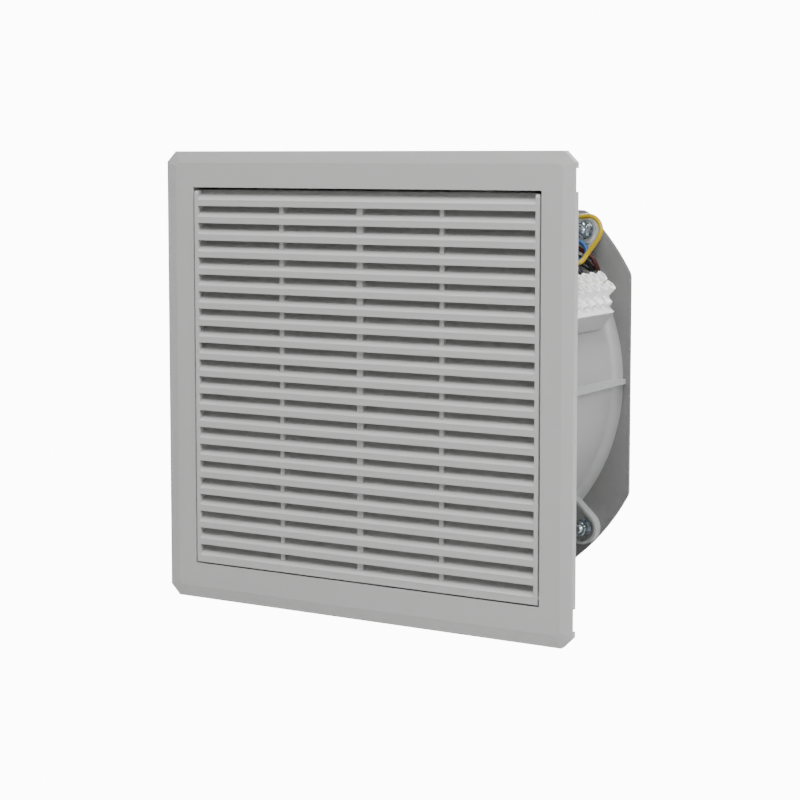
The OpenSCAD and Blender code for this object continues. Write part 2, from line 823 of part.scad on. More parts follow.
// Round duct with a square flange, four long ribs, four ears and the terminal platform
module fan_duct() {
    color(plastic_grey) difference() {
        union() {
            slab(duct_y, duct_flange_t) square(duct_flange_w, center = true);
            lathe() polygon(concat(
                [[duct_bore_r - overrun, duct_y], [duct_r, duct_y]],
                [for (i = [0 : cove_steps]) cove_point(i)],
                [[duct_bore_r - overrun, plate_y]]
            ));
            for (a = [0 : 90 : 270]) rotate([0, a, 0])
                translate([duct_r - duct_wall / 2, duct_y, -duct_rib_t / 2])
                cube([duct_rib_r - duct_r + duct_wall / 2, duct_len, duct_rib_t]);
            for (a = [-bolt_angle, bolt_angle, 180 - bolt_angle, 180 + bolt_angle]) rotate([0, a, 0]) ear();
            duct_screw_places() rod(0, 0, duct_y, duct_boss_h, duct_boss_r);
            on_platform() slab(platform_front, platform_rear - platform_front) polygon([
                [platform_in, platform_z], [platform_out, platform_z], [platform_foot_out, platform_foot_z],
                [platform_foot_in, platform_foot_z], [platform_in, platform_heel_z]
            ]);
        }
        rod(0, 0, duct_y - overrun, duct_len + 2 * overrun, duct_bore_r);
        at_corners(bolt_x, bolt_z) rod(0, 0, ear_floor_y - overrun, ear_floor_t + 2 * overrun, bolt_r + bolt_hole_clear);
        duct_screw_places() rod(0, 0, duct_y - overrun, duct_boss_h + overrun - duct_flange_t / 2, duct_screw_r);
        block_screw_places() cylinder(h = 2 * (block_screw_len - web_h), r = block_screw_r, center = true, $fn = round_fn);
        nut_plate_disc(1);
    }
}

// Pan-head screws from the filter pocket into the duct's bosses
module duct_screws() {
    color(zinc) duct_screw_places() {
        rod(0, 0, back_wall_y - duct_screw_head_t, duct_screw_head_t, duct_screw_head_r);
        rod(0, 0, back_wall_y - bite, duct_screw_len + bite, duct_screw_r);
    }
}

// Pressed plate with the nozzle that the impeller turns in
module wall_plate() {
    color(plate_grey) difference() {
        union() {
            slab(plate_y, plate_t) offset(r = plate_blend, $fn = round_fn) offset(delta = -plate_blend)
                difference() {
                    intersection() {
                        square(2 * plate_half, center = true);
                        translate([0, -plate_circle_drop]) circle(r = plate_r, $fn = 2 * round_fn);
                    }
                    translate([plate_step_x, plate_step_z]) square(plate_half);
                }
            lathe() polygon([
                [nozzle_r, plate_y - nozzle_len + nozzle_lip_l], [nozzle_r + nozzle_lip, plate_y - nozzle_len],
                [nozzle_r + nozzle_lip + nozzle_t, plate_y - nozzle_len],
                [nozzle_r + nozzle_t, plate_y - nozzle_len + nozzle_lip_l],
                [nozzle_r + nozzle_t, plate_rear], [nozzle_r, plate_rear]
            ]);
        }
        rod(0, 0, plate_y - overrun, plate_t + 2 * overrun, nozzle_r);
        at_corners(bolt_x, bolt_z) rod(0, 0, plate_y - overrun, plate_t + 2 * overrun, bolt_r + bolt_hole_clear);
        beside_arm() rod(grommet_out, grommet_aside, plate_y - overrun, plate_t + 2 * overrun, grommet_r - grommet_groove);
    }
}

// A point of the guard's profile: radius r, on the flat or on the slope
function guard_profile_y(r) =
    r < guard_knee_r ? guard_y : guard_y - slope_drop * (r - guard_knee_r) / slope_run;
function ring_out(r) = r < guard_knee_r ? 0 : ring_offset * slope_drop / slope_len;
function ring_back(r) = r < guard_knee_r ? ring_offset : ring_offset * slope_run / slope_len;

// A flat arm of the guard, out to radius end_r
module guard_arm(end_r) {
    slab_side(arm_w) polygon([
        [arm_in_r, guard_y - arm_r], [guard_knee_r, guard_y - arm_r], [end_r, guard_profile_y(end_r) - arm_r],
        [end_r, guard_profile_y(end_r) + arm_r], [guard_knee_r, guard_y + arm_r], [arm_in_r, guard_y + arm_r]
    ]);
}

// Basket of welded wire with the plate that carries the motor
module guard_grille() {
    color("darkgray") difference() {
        union() {
            for (a = [-bolt_angle, bolt_angle, 180 - bolt_angle, 180 + bolt_angle]) rotate([0, a, 0]) {
                guard_arm(guard_foot_r);
                slab(plate_rear, foot_t) {
                    translate([bolt_circle_r, 0]) circle(r = foot_round, $fn = round_fn);
                    translate([bolt_circle_r - foot_reach, -foot_w / 2]) square([foot_reach, foot_w]);
                }
            }
            for (a = [0 : 90 : 270]) rotate([0, a, 0]) guard_arm(motor_plate_r + ring_count * ring_pitch);
            for (i = [1 : ring_count])
                let (r = motor_plate_r + i * ring_pitch)
                    translate([0, guard_profile_y(r) + ring_back(r), 0]) rotate([-90, 0, 0])
                        rotate_extrude($fn = round_fn)
                            translate([r + ring_out(r), 0]) square(2 * ring_wire_r, center = true);
            rod(0, 0, motor_plate_y, motor_plate_t, motor_plate_r);
        }
        at_corners(bolt_x, bolt_z) rod(0, 0, plate_rear - overrun, foot_t + 2 * overrun, bolt_r + bolt_hole_clear);
        motor_screw_places() rod(0, 0, motor_plate_y - overrun, motor_plate_t + 2 * overrun, motor_screw_r + bolt_hole_clear);
    }
}

// Hexagon bolts from behind, through the guard's feet, the wall plate and the ears
module fan_bolts() {
    color(zinc) at_corners(bolt_x, bolt_z) {
        rod(0, 0, foot_rear, head_t, nut_r, hex_fn);
        rod(0, 0, bolt_end_y, foot_rear - bolt_end_y + bite, bolt_r);
    }
}

module fastener_ring(y, t, outer) {
    color(zinc) at_corners(bolt_x, bolt_z) difference() {
        rod(0, 0, y, t, outer);
        rod(0, 0, y - overrun, t + 2 * overrun, bolt_r + bolt_hole_clear / 2);
    }
}

module plain_washers() { fastener_ring(washer_y, washer_t, washer_r); }
module lock_washers() { fastener_ring(lock_washer_y, lock_washer_t, lock_washer_r); }

module fan_nuts() {
    color(zinc) at_corners(bolt_x, bolt_z) difference() {
        rod(0, 0, nut_y, nut_t, nut_r, hex_fn);
        rod(0, 0, nut_y - overrun, nut_t + 2 * overrun, bolt_r);
    }
}

module motor_screw_places() {
    for (a = [0 : 90 : 270]) rotate([0, a, 0]) translate([motor_screw_circle, 0, 0]) children();
}

// Cast flange and tube that carry the stator and both bearings
module motor_flange() {
    color("silver") difference() {
        union() {
            rod(0, 0, motor_flange_y, motor_flange_t, motor_flange_r);
            rod(0, 0, front_bearing_y, motor_flange_y - front_bearing_y + bite, bearing_tube_r);
        }
        rod(0, 0, front_bearing_y - overrun, rear_bearing_y + bearing_w - front_bearing_y + overrun, bearing_r - bearing_step);
        rod(0, 0, front_bearing_y - overrun, bearing_w + overrun, bearing_r);
        rod(0, 0, rear_bearing_y, bearing_w, bearing_r);
        rod(0, 0, rear_bearing_y, motor_plate_y - rear_bearing_y + overrun, shaft_room_r);
        motor_screw_places() rod(0, 0, motor_plate_y - motor_screw_depth, motor_screw_depth + overrun, motor_screw_r);
        along_cable() translate([0, 0, motor_flange_r - bush_len]) cylinder(h = bush_len + overrun, r = bush_r, $fn = round_fn);
    }
}

// Frame of the cable where it leaves the motor, with z along the cable
module along_cable() {
    beside_arm() translate([0, cable_mid_y, cable_offset]) rotate([0, 90, 0]) children();
}

module motor_screws() {
    color(zinc) motor_screw_places() {
        rod(0, 0, motor_plate_y + motor_plate_t, motor_screw_head_t, motor_screw_head_r);
        rod(0, 0, motor_plate_y - motor_screw_depth + bite, motor_screw_depth + motor_plate_t, motor_screw_r);
    }
}

module bearing(y) {
    color("lightsteelblue") lathe() {
        translate([bearing_bore_r, y]) square([bearing_inner, bearing_w]);
        translate([bearing_bore_r + bearing_inner - bite, y + bite])
            square([bearing_r - bearing_bore_r - 2 * bearing_inner + 2 * bite, bearing_w - 2 * bite]);
        translate([bearing_r - bearing_inner, y]) square([bearing_inner, bearing_w]);
    }
}

module front_bearing() { bearing(front_bearing_y); }
module rear_bearing() { bearing(rear_bearing_y); }

module stator_core() {
    color("slategray") difference() {
        rod(0, 0, stator_y, stator_len, stator_r);
        rod(0, 0, stator_y - overrun, stator_len + 2 * overrun, bearing_tube_r);
    }
}

module winding(y) {
    lathe() {
        translate([winding_inner_r, y + winding_round]) square([winding_outer_r - winding_inner_r, winding_t - 2 * winding_round]);
        translate([winding_inner_r + winding_round, y]) square([winding_outer_r - winding_inner_r - 2 * winding_round, winding_t]);
    }
}

module stator_windings() {
    color("peru") {
        winding(stator_y - winding_t);
        winding(stator_y + stator_len);
    }
}

// Cup that turns round the stator, with its boss on the shaft
module rotor_can() {
    color("dimgray") lathe() polygon([
        [shaft_r, rotor_y], [rotor_r, rotor_y], [rotor_r, rotor_y + rotor_len],
        [rotor_ring_r, rotor_y + rotor_len], [rotor_ring_r, rotor_y + rotor_wall],
        [rotor_boss_r, rotor_y + rotor_wall], [rotor_boss_r, rotor_y + rotor_wall + rotor_boss_h],
        [shaft_r, rotor_y + rotor_wall + rotor_boss_h]
    ]);
}

module rotor_ring() {
    color("slategray") difference() {
        rod(0, 0, stator_y, stator_len, rotor_ring_r);
        rod(0, 0, stator_y - overrun, stator_len + 2 * overrun, stator_r + air_gap);
    }
}

module motor_shaft() {
    color(steel) rod(0, 0, rotor_y, shaft_end_y - rotor_y, shaft_r);
}

module shaft_clip() {
    color(steel) difference() {
        rod(0, 0, rear_bearing_y + bearing_w + body_clear, shaft_clip_t, shaft_clip_r);
        rod(0, 0, rear_bearing_y + bearing_w, 2 * shaft_clip_t + overrun, shaft_r);
    }
}

// Where a blade's section lies at station k: radius, chord, pitch angle and sweep
function station_r(k) = hub_r - blade_root + (impeller_r - hub_r + blade_root) * k / blade_stations;
function station_chord(k) = root_chord + (tip_chord - root_chord) * k / blade_stations;
function station_pitch(k) = root_pitch + (tip_pitch - root_pitch) * k / blade_stations;
function station_sweep(k) = blade_sweep * pow(k / blade_stations, 2);

// A point of the section: s along the chord from 0 to 1, side -1 or 1
function blade_point(k, s, side) =
    let (
        c = station_chord(k), p = station_pitch(k),
        along = (s - 1 / 2) * c,
        across = 4 * blade_camber * s * (1 - s) + side * blade_t * sqrt(max(s * (1 - s), blade_edge_share)),
        round_way = along * cos(p) - across * sin(p),
        deep = along * sin(p) + across * cos(p),
        a = station_sweep(k) + round_way / station_r(k) * 180 / PI
    )
    [station_r(k) * cos(a), blade_y + blade_depth / 2 + deep, station_r(k) * sin(a)];

module blade() {
    loop = 2 * blade_steps + 2;
    points = [for (k = [0 : blade_stations])
        each concat(
            [for (j = [0 : blade_steps]) blade_point(k, j / blade_steps, 1)],
            [for (j = [blade_steps : -1 : 0]) blade_point(k, j / blade_steps, -1)]
        )];
    walls = [for (k = [0 : blade_stations - 1], j = [0 : loop - 1])
        let (a = k * loop + j, b = k * loop + (j + 1) % loop)
        each [[a, a + loop, b], [b, a + loop, b + loop]]];
    caps = [for (j = [0 : blade_steps - 1])
        let (o = blade_stations * loop, f = loop - 1 - j)
        each [[j, j + 1, f], [j + 1, f - 1, f], [o + j + 1, o + j, o + f], [o + f - 1, o + j + 1, o + f]]];
    polyhedron(points, concat(walls, caps), convexity = 4);
}

// Hub pressed on the rotor can, with its blades
module impeller() {
    color([0.24, 0.25, 0.26]) {
        lathe() difference() {
            union() {
                translate([0, rotor_y - hub_cap_t]) square([hub_r - hub_round, hub_len]);
                translate([0, rotor_y - hub_cap_t + hub_round]) square([hub_r, hub_len - hub_round]);
                translate([hub_r - hub_round, rotor_y - hub_cap_t + hub_round]) circle(r = hub_round, $fn = round_fn);
            }
            translate([0, rotor_y]) square([rotor_r, hub_len]);
            translate([-2 * hub_r, 0]) square([2 * hub_r, plate_rear + guard_rise]);
        }
        for (i = [0 : blade_count - 1]) rotate([0, 360 * i / blade_count, 0]) blade();
    }
}

module pole_places() {
    for (i = [0 : pole_count - 1]) translate([block_mid, block_y + (i + 1 / 2) * pole_pitch, 0]) children();
}

module tower_places() {
    pole_places() for (side = [-1, 1]) translate([side * tower_gap / 2, 0, 0]) children();
}

// Places of the block's fixing screws, between the outer poles
module block_screw_places() {
    on_platform() for (y = [block_y + pole_pitch, block_y + block_len - pole_pitch])
        translate([block_mid, y, platform_z]) children();
}

module entry_bore(r, half) {
    translate([-half, 0, entry_z]) rotate([0, 90, 0]) cylinder(h = 2 * half, r = r, $fn = round_fn);
}

// Housing of the terminal block: a row of poles on a web, with a base that runs to the platform's edge
module terminal_block() {
    color("white") difference() {
        on_platform() difference() {
            union() {
                translate([block_mid - web_half, block_y + (pole_pitch - pole_w) / 2, platform_z])
                    cube([2 * web_half, block_len - pole_pitch + pole_w, web_h]);
                translate([block_mid, block_y + (pole_pitch - pole_w) / 2, platform_z])
                    cube([platform_out - base_inset - block_mid, block_len - pole_pitch + pole_w, base_h]);
                pole_places() {
                    translate([-pole_half, -pole_w / 2, platform_z]) cube([2 * pole_half, pole_w, pole_h]);
                    entry_bore(entry_outer_r, entry_half);
                }
                tower_places() translate([0, 0, platform_z]) cylinder(h = tower_h, r = tower_r, $fn = round_fn);
            }
            pole_places() {
                entry_bore(entry_r, entry_half + overrun);
                entry_bore(clamp_r, clamp_half);
            }
            tower_places() translate([0, 0, entry_z])
                cylinder(h = platform_z + tower_h - entry_z + overrun, r = tower_bore_r, $fn = round_fn);
        }
        block_screw_places() {
            cylinder(h = 4 * web_h, r = block_screw_r + bolt_hole_clear, center = true, $fn = round_fn);
            translate([0, 0, web_h]) cylinder(h = tower_h, r = block_screw_head_r + bolt_hole_clear, $fn = round_fn);
        }
    }
}

// Brass tubes that join the two ends of each pole
module clamp_tubes() {
    color("goldenrod") on_platform() difference() {
        pole_places() entry_bore(clamp_r, clamp_half);
        pole_places() entry_bore(clamp_bore_r, clamp_half + overrun);
        tower_places() translate([0, 0, entry_z]) cylinder(h = 2 * clamp_r, r = clamp_screw_r, $fn = round_fn);
    }
}

module clamp_screws() {
    head_z = platform_z + tower_h - clamp_head_drop - clamp_head_t;
    color(zinc) on_platform() tower_places() {
        translate([0, 0, head_z]) cylinder(h = clamp_head_t, r = clamp_head_r, $fn = round_fn);
        translate([0, 0, entry_z + clamp_bore_r / 2]) cylinder(h = head_z - entry_z, r = clamp_screw_r, $fn = round_fn);
    }
}

module block_screws() {
    color(zinc) block_screw_places() {
        translate([0, 0, web_h]) cylinder(h = block_screw_head_t, r = block_screw_head_r, $fn = round_fn);
        translate([0, 0, web_h + bite - block_screw_len]) cylinder(h = block_screw_len, r = block_screw_r, $fn = round_fn);
    }
}

// Rubber ring in the wall plate, round the cable
module cable_grommet() {
    color([0.12, 0.12, 0.12]) beside_arm() translate([grommet_out, 0, grommet_aside]) lathe() {
        translate([cable_r, plate_y - grommet_lip]) square([grommet_r - cable_r, grommet_lip]);
        translate([cable_r, plate_y - bite]) square([grommet_r - grommet_groove - cable_r, plate_t + 2 * bite]);
        translate([cable_r, plate_rear]) square([grommet_r - cable_r, grommet_lip]);
    }
}

// Rubber bush where the cable leaves the motor
module cable_bush() {
    color([0.12, 0.12, 0.12]) along_cable() difference() {
        translate([0, 0, motor_flange_r - bush_len]) union() {
            cylinder(h = bush_len + bush_out, r = bush_r, $fn = round_fn);
            translate([0, 0, bush_len]) cylinder(h = bush_out / 2, r = bush_lip_r, $fn = round_fn);
        }
        translate([0, 0, motor_flange_r - bush_len - overrun])
            cylinder(h = bush_len + bush_out + 2 * overrun, r = cable_r, $fn = round_fn);
    }
}

// Ties that hold the cable to a guard arm
module cable_ties() {
    color("black") beside_arm() for (share = tie_shares)
        translate([motor_plate_r + share * ring_pitch - tie_w / 2, tie_y, tie_side]) rotate([90, 0, 90]) linear_extrude(tie_w) difference() {
            square([2 * tie_half_h, 2 * tie_half_w], center = true);
            square([2 * (tie_half_h - tie_wall), 2 * (tie_half_w - tie_wall)], center = true);
        }
}

module motor_cable() { color("black") beside_arm() cord(follow_arm(cable_route), cable_r, 8); }
module earth_lead() { color("yellowgreen") cord(follow_block(earth_route), lead_r, 8); }
module blue_lead() { color("royalblue") cord(follow_block(blue_route), lead_r, 8); }
module brown_lead() { color("saddlebrown") cord(follow_block(brown_route), lead_r, 8); }
module black_lead() { color("black") cord(follow_block(black_route), lead_r, 8); }

front_frame();
panel_gasket();
louvre_cover();
filter_mat();
filter_grid();
spring_clip_1();
spring_clip_2();
spring_clip_3();
spring_clip_4();
clip_pins();
fan_duct();
duct_screws();
nut_plate();
wall_plate();
guard_grille();
fan_bolts();
plain_washers();
lock_washers();
fan_nuts();
motor_flange();
motor_screws();
front_bearing();
rear_bearing();
stator_core();
stator_windings();
rotor_can();
rotor_ring();
motor_shaft();
shaft_clip();
impeller();
terminal_block();
clamp_tubes();
clamp_screws();
block_screws();
cable_grommet();
cable_bush();
cable_ties();
motor_cable();
earth_lead();
blue_lead();
brown_lead();
black_lead();
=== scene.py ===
"""Looks of the enclosure filter fan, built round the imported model. Metres, in the row frame."""

import json
import math
import random

import bmesh
import bpy
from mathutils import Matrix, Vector

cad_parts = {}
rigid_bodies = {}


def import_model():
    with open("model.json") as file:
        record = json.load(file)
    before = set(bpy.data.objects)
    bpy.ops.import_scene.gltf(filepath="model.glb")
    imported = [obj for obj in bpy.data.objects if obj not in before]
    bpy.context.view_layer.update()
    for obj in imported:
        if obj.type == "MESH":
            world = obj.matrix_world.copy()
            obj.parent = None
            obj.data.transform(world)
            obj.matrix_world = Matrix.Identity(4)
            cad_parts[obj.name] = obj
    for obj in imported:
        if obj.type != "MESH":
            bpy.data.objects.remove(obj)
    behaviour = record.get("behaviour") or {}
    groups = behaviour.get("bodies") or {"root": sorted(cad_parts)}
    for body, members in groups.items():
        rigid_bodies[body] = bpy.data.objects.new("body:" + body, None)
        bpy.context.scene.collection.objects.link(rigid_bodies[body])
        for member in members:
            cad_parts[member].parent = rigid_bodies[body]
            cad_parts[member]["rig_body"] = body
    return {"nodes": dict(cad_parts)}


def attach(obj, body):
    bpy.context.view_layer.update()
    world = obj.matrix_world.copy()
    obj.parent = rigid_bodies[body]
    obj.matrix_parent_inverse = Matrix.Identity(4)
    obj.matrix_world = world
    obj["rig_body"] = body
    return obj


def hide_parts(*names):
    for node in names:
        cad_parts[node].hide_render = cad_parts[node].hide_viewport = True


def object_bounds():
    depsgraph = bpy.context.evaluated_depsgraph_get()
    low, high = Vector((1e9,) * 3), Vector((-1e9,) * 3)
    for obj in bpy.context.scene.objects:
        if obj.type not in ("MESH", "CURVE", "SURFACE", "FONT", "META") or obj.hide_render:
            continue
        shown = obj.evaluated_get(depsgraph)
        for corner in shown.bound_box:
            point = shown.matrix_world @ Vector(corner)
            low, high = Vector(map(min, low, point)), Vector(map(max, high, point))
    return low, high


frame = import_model()
cad_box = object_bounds()
nodes = frame["nodes"]
MM = 0.001
WELD = 2e-6  # points of a mesh that lie nearer than this, in metres, are one

# Camera: the photograph's view, tilted down so that only a small lens shift is left to the other views
camera = bpy.data.objects.new("camera", bpy.data.cameras.new("camera"))
bpy.context.scene.collection.objects.link(camera)
bpy.context.scene.camera = camera
camera.data.lens = 86.22
camera.data.shift_y = -0.10
camera.location = (0.6822, -1.1143, 0.1577)
camera.rotation_euler = (math.radians(85.122), 0, math.radians(30.366))
camera.data.clip_start, camera.data.clip_end = 0.05, 50


# Helpers
def link(name, mesh, body, *replaced):
    """A piece of that mesh, riding on a body, in place of CAD nodes."""
    obj = bpy.data.objects.new(name, mesh)
    bpy.context.scene.collection.objects.link(obj)
    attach(obj, body)
    if replaced:
        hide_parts(*replaced)
    return obj


def smooth(obj, angle=32):
    """Smooth shading that keeps edges sharper than an angle in degrees."""
    for p in obj.data.polygons:
        p.use_smooth = True
    obj.data.set_sharp_from_angle(angle=math.radians(angle))


def mesh_of(bm, name):
    """A mesh of bm, which is freed, with its faces turned outwards."""
    mesh = bpy.data.meshes.new(name)
    bmesh.ops.recalc_face_normals(bm, faces=bm.faces)
    bm.to_mesh(mesh)
    bm.free()
    return mesh


def softened(node, width, crease=32, segments=2, angle=28, flat=0.6):
    """A copy of a CAD node with its flat faces whole and its edges rounded by width, in mm; edges sharper
    than crease, in degrees, stay crisp."""
    body = nodes[node]["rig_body"]
    bm = bmesh.new()
    bm.from_mesh(nodes[node].data)
    bmesh.ops.remove_doubles(bm, verts=bm.verts, dist=WELD)
    bmesh.ops.dissolve_degenerate(bm, edges=bm.edges, dist=WELD / 2)
    bmesh.ops.dissolve_limit(bm, angle_limit=math.radians(flat), verts=bm.verts, edges=bm.edges)
    obj = link(node + "_finished", mesh_of(bm, node), body, node)
    smooth(obj, crease)
    bevel = obj.modifiers.new("edge", "BEVEL")
    bevel.width = width * MM
    bevel.segments = segments
    bevel.limit_method = "ANGLE"
    bevel.angle_limit = math.radians(angle)
    bevel.use_clamp_overlap = True
    bevel.harden_normals = True
    return obj


# Cords: the routes of part.scad, in mm. The cable's is drawn along X and turned onto the arm it lies on.
CABLE_R, LEAD_R = 4.2, 1.6
BOLT_X, BOLT_Z = 112, 106
ARM_TURN = math.atan2(BOLT_Z, BOLT_X)
EASING = 6  # rounds that ease a route's corners
CABLE_ROUTE = [
    (38, 140, 6.8), (50, 140, 6.8), (58, 141.4, 6.8), (66, 144.2, 6.8), (74, 146.4, 6.8),
    (83, 147, 6.8), (100, 147, 6.8), (110, 147, 7.8), (116.5, 147.2, 9.2), (121, 148.2, 10.6),
    (125.5, 150, 12.2), (131, 150.7, 14), (136.5, 149.4, 15.8), (142, 145.8, 17.6),
    (146.5, 140.4, 19.2), (149.2, 133.8, 20.2), (150, 128, 20.6), (150, 120, 20.6), (150, 112, 20.6),
]
LEAD_ROUTES = {
    "earth": [
        (96.6, 111.9, 119.6), (97, 108, 120.2), (99.5, 104.8, 121.6), (103.5, 103, 121), (110, 102, 118),
        (116.3, 101.5, 115.7), (123.7, 99, 116.7), (129.6, 97, 115.1), (133.6, 95, 111.1),
        (135, 93.5, 106.3), (133.4, 92, 101.1), (130, 90.5, 95.8), (126.1, 89, 90.2), (123.6, 86, 85.1),
        (119.9, 80.5, 85.2), (114.4, 74.5, 86.4), (111.7, 68.3, 85.1), (113.1, 63.4, 80.6),
        (118.5, 62.6, 74.4), (122.3, 62.6, 70.6),
    ],
    "blue": [
        (93.4, 111.9, 119.6), (93.5, 108, 119.5), (94.9, 104.4, 118), (98, 101.5, 113.8),
        (103.5, 99.5, 107.5), (110.3, 99.5, 101.3), (115.5, 100, 98.9), (120, 99.5, 96.2),
        (122.4, 98, 92.2), (122.7, 94.5, 87.8), (120.6, 90.5, 85.9), (116, 88, 86.6), (112.4, 83.7, 86.1),
        (112, 78.4, 83.2), (114.6, 75.9, 78.5), (118.5, 75.6, 74.4), (122.3, 75.6, 70.6),
    ],
    "brown": [
        (96.6, 111.9, 116.4), (96.8, 108.6, 116), (98.3, 106.4, 113), (101, 105, 107.5), (105.5, 104, 101),
        (108.9, 102.6, 95.7), (114.2, 102.8, 93.5), (118.8, 103.8, 90.7), (122.6, 105.6, 87.4),
        (124.4, 108.5, 82.9), (124.2, 113.4, 77.8), (120.8, 117.4, 79.5), (115.8, 118, 82.2),
        (110.8, 115.6, 84.6), (107.5, 110.5, 85.7), (106.9, 104, 85.7), (107.2, 97.5, 85.1),
        (109.5, 91.8, 82.9), (113.8, 89, 79.1), (118.5, 88.6, 74.4), (122.3, 88.6, 70.6),
    ],
    "black": [
        (93.4, 111.9, 116.4), (93.5, 108.6, 116), (94.2, 106.2, 112.5), (96.2, 104, 106.5),
        (100, 103, 99.5), (107.5, 105.5, 90.7), (112.5, 106.5, 87.6), (116.7, 107.5, 84.7),
        (120.2, 108.8, 81.8), (121.3, 111.8, 78.3), (117.5, 114.9, 78.5), (112.7, 115.2, 81),
        (110, 111, 83.2), (110.3, 104.8, 82.6), (113.8, 101.8, 79.1), (118.5, 101.5, 74.4),
        (122.3, 101.5, 70.6),
    ],
}


def along(points, step):
    """A smooth line through points, resampled about every step."""
    pts = [Vector(p) for p in points]
    pts = [2 * pts[0] - pts[1]] + pts + [2 * pts[-1] - pts[-2]]
    line = []
    for a, b, c, d in zip(pts, pts[1:], pts[2:], pts[3:]):
        n = max(2, round((c - b).length / step))
        for i in range(n):
            t = i / n
            line.append(0.5 * (2 * b + (c - a) * t + (2 * a - 5 * b + 4 * c - d) * t * t
                               + (3 * b - a - 3 * c + d) * t ** 3))
    return line + [pts[-2]]


def relaxed(line, rounds):
    """The line with its corners eased; its ends stay."""
    for _ in range(rounds):
        line = [line[0], line[1]] + [
            line[i] * 0.5 + (line[i - 1] + line[i + 1]) * 0.25 for i in range(2, len(line) - 2)
        ] + [line[-2], line[-1]]
    return line


def tube(name, line, r, sides=16, closed=False, slots=None):
    """A round tube along a line in mm, as a mesh in metres. slots(ring, side) gives a face's slot."""
    bm = bmesh.new()
    n = len(line)
    side = Vector((0.31, 0.22, 0.93))  # no tube starts along this
    rings = []
    for i, p in enumerate(line):
        before = line[i - 1] if i or closed else line[0]
        after = line[(i + 1) % n] if i < n - 1 or closed else line[-1]
        t = (after - before).normalized()
        u = (side - t * side.dot(t)).normalized()
        side = u
        v = t.cross(u)
        rings.append([bm.verts.new((p + r * (math.cos(a) * u + math.sin(a) * v)) * MM)
                      for a in (math.tau * k / sides for k in range(sides))])
    for i in range(n if closed else n - 1):
        a, b = rings[i], rings[(i + 1) % n]
        for k in range(sides):
            f = bm.faces.new((a[k], a[(k + 1) % sides], b[(k + 1) % sides], b[k]))
            f.smooth = True
            if slots:
                f.material_index = slots(i, k)
    if not closed:
        bm.faces.new(rings[0])
        bm.faces.new(reversed(rings[-1]))
    return mesh_of(bm, name)


def lay_cord(name, node, route, r, step, slots=None, turn=0.0):
    """A cord of that radius along a route in mm, turned about Y, in place of its CAD node."""
    line = relaxed(along(route, step), EASING)
    c, s = math.cos(turn), math.sin(turn)
    line = [Vector((p.x * c - p.z * s, p.y, p.x * s + p.z * c)) for p in line]
    piece = link(name, tube(name, line, r, slots=slots), "housing", node)
    return piece


def earth_stripe(ring, side):
    """The slot of a face of the yellow lead: two stripes, three of 16 sides wide, wind slowly round it."""
    return 1 if (side + ring // 6) % 8 < 3 else 0


cords = {"cable": lay_cord("motor_cable_sheath", "motor_cable", CABLE_ROUTE, CABLE_R, step=2.0,
                           turn=ARM_TURN)}
for key, route in LEAD_ROUTES.items():
    cords[key] = lay_cord(key + "_lead_wire", key + "_lead", route, LEAD_R, step=1.2,
                          slots=earth_stripe if key == "earth" else None)


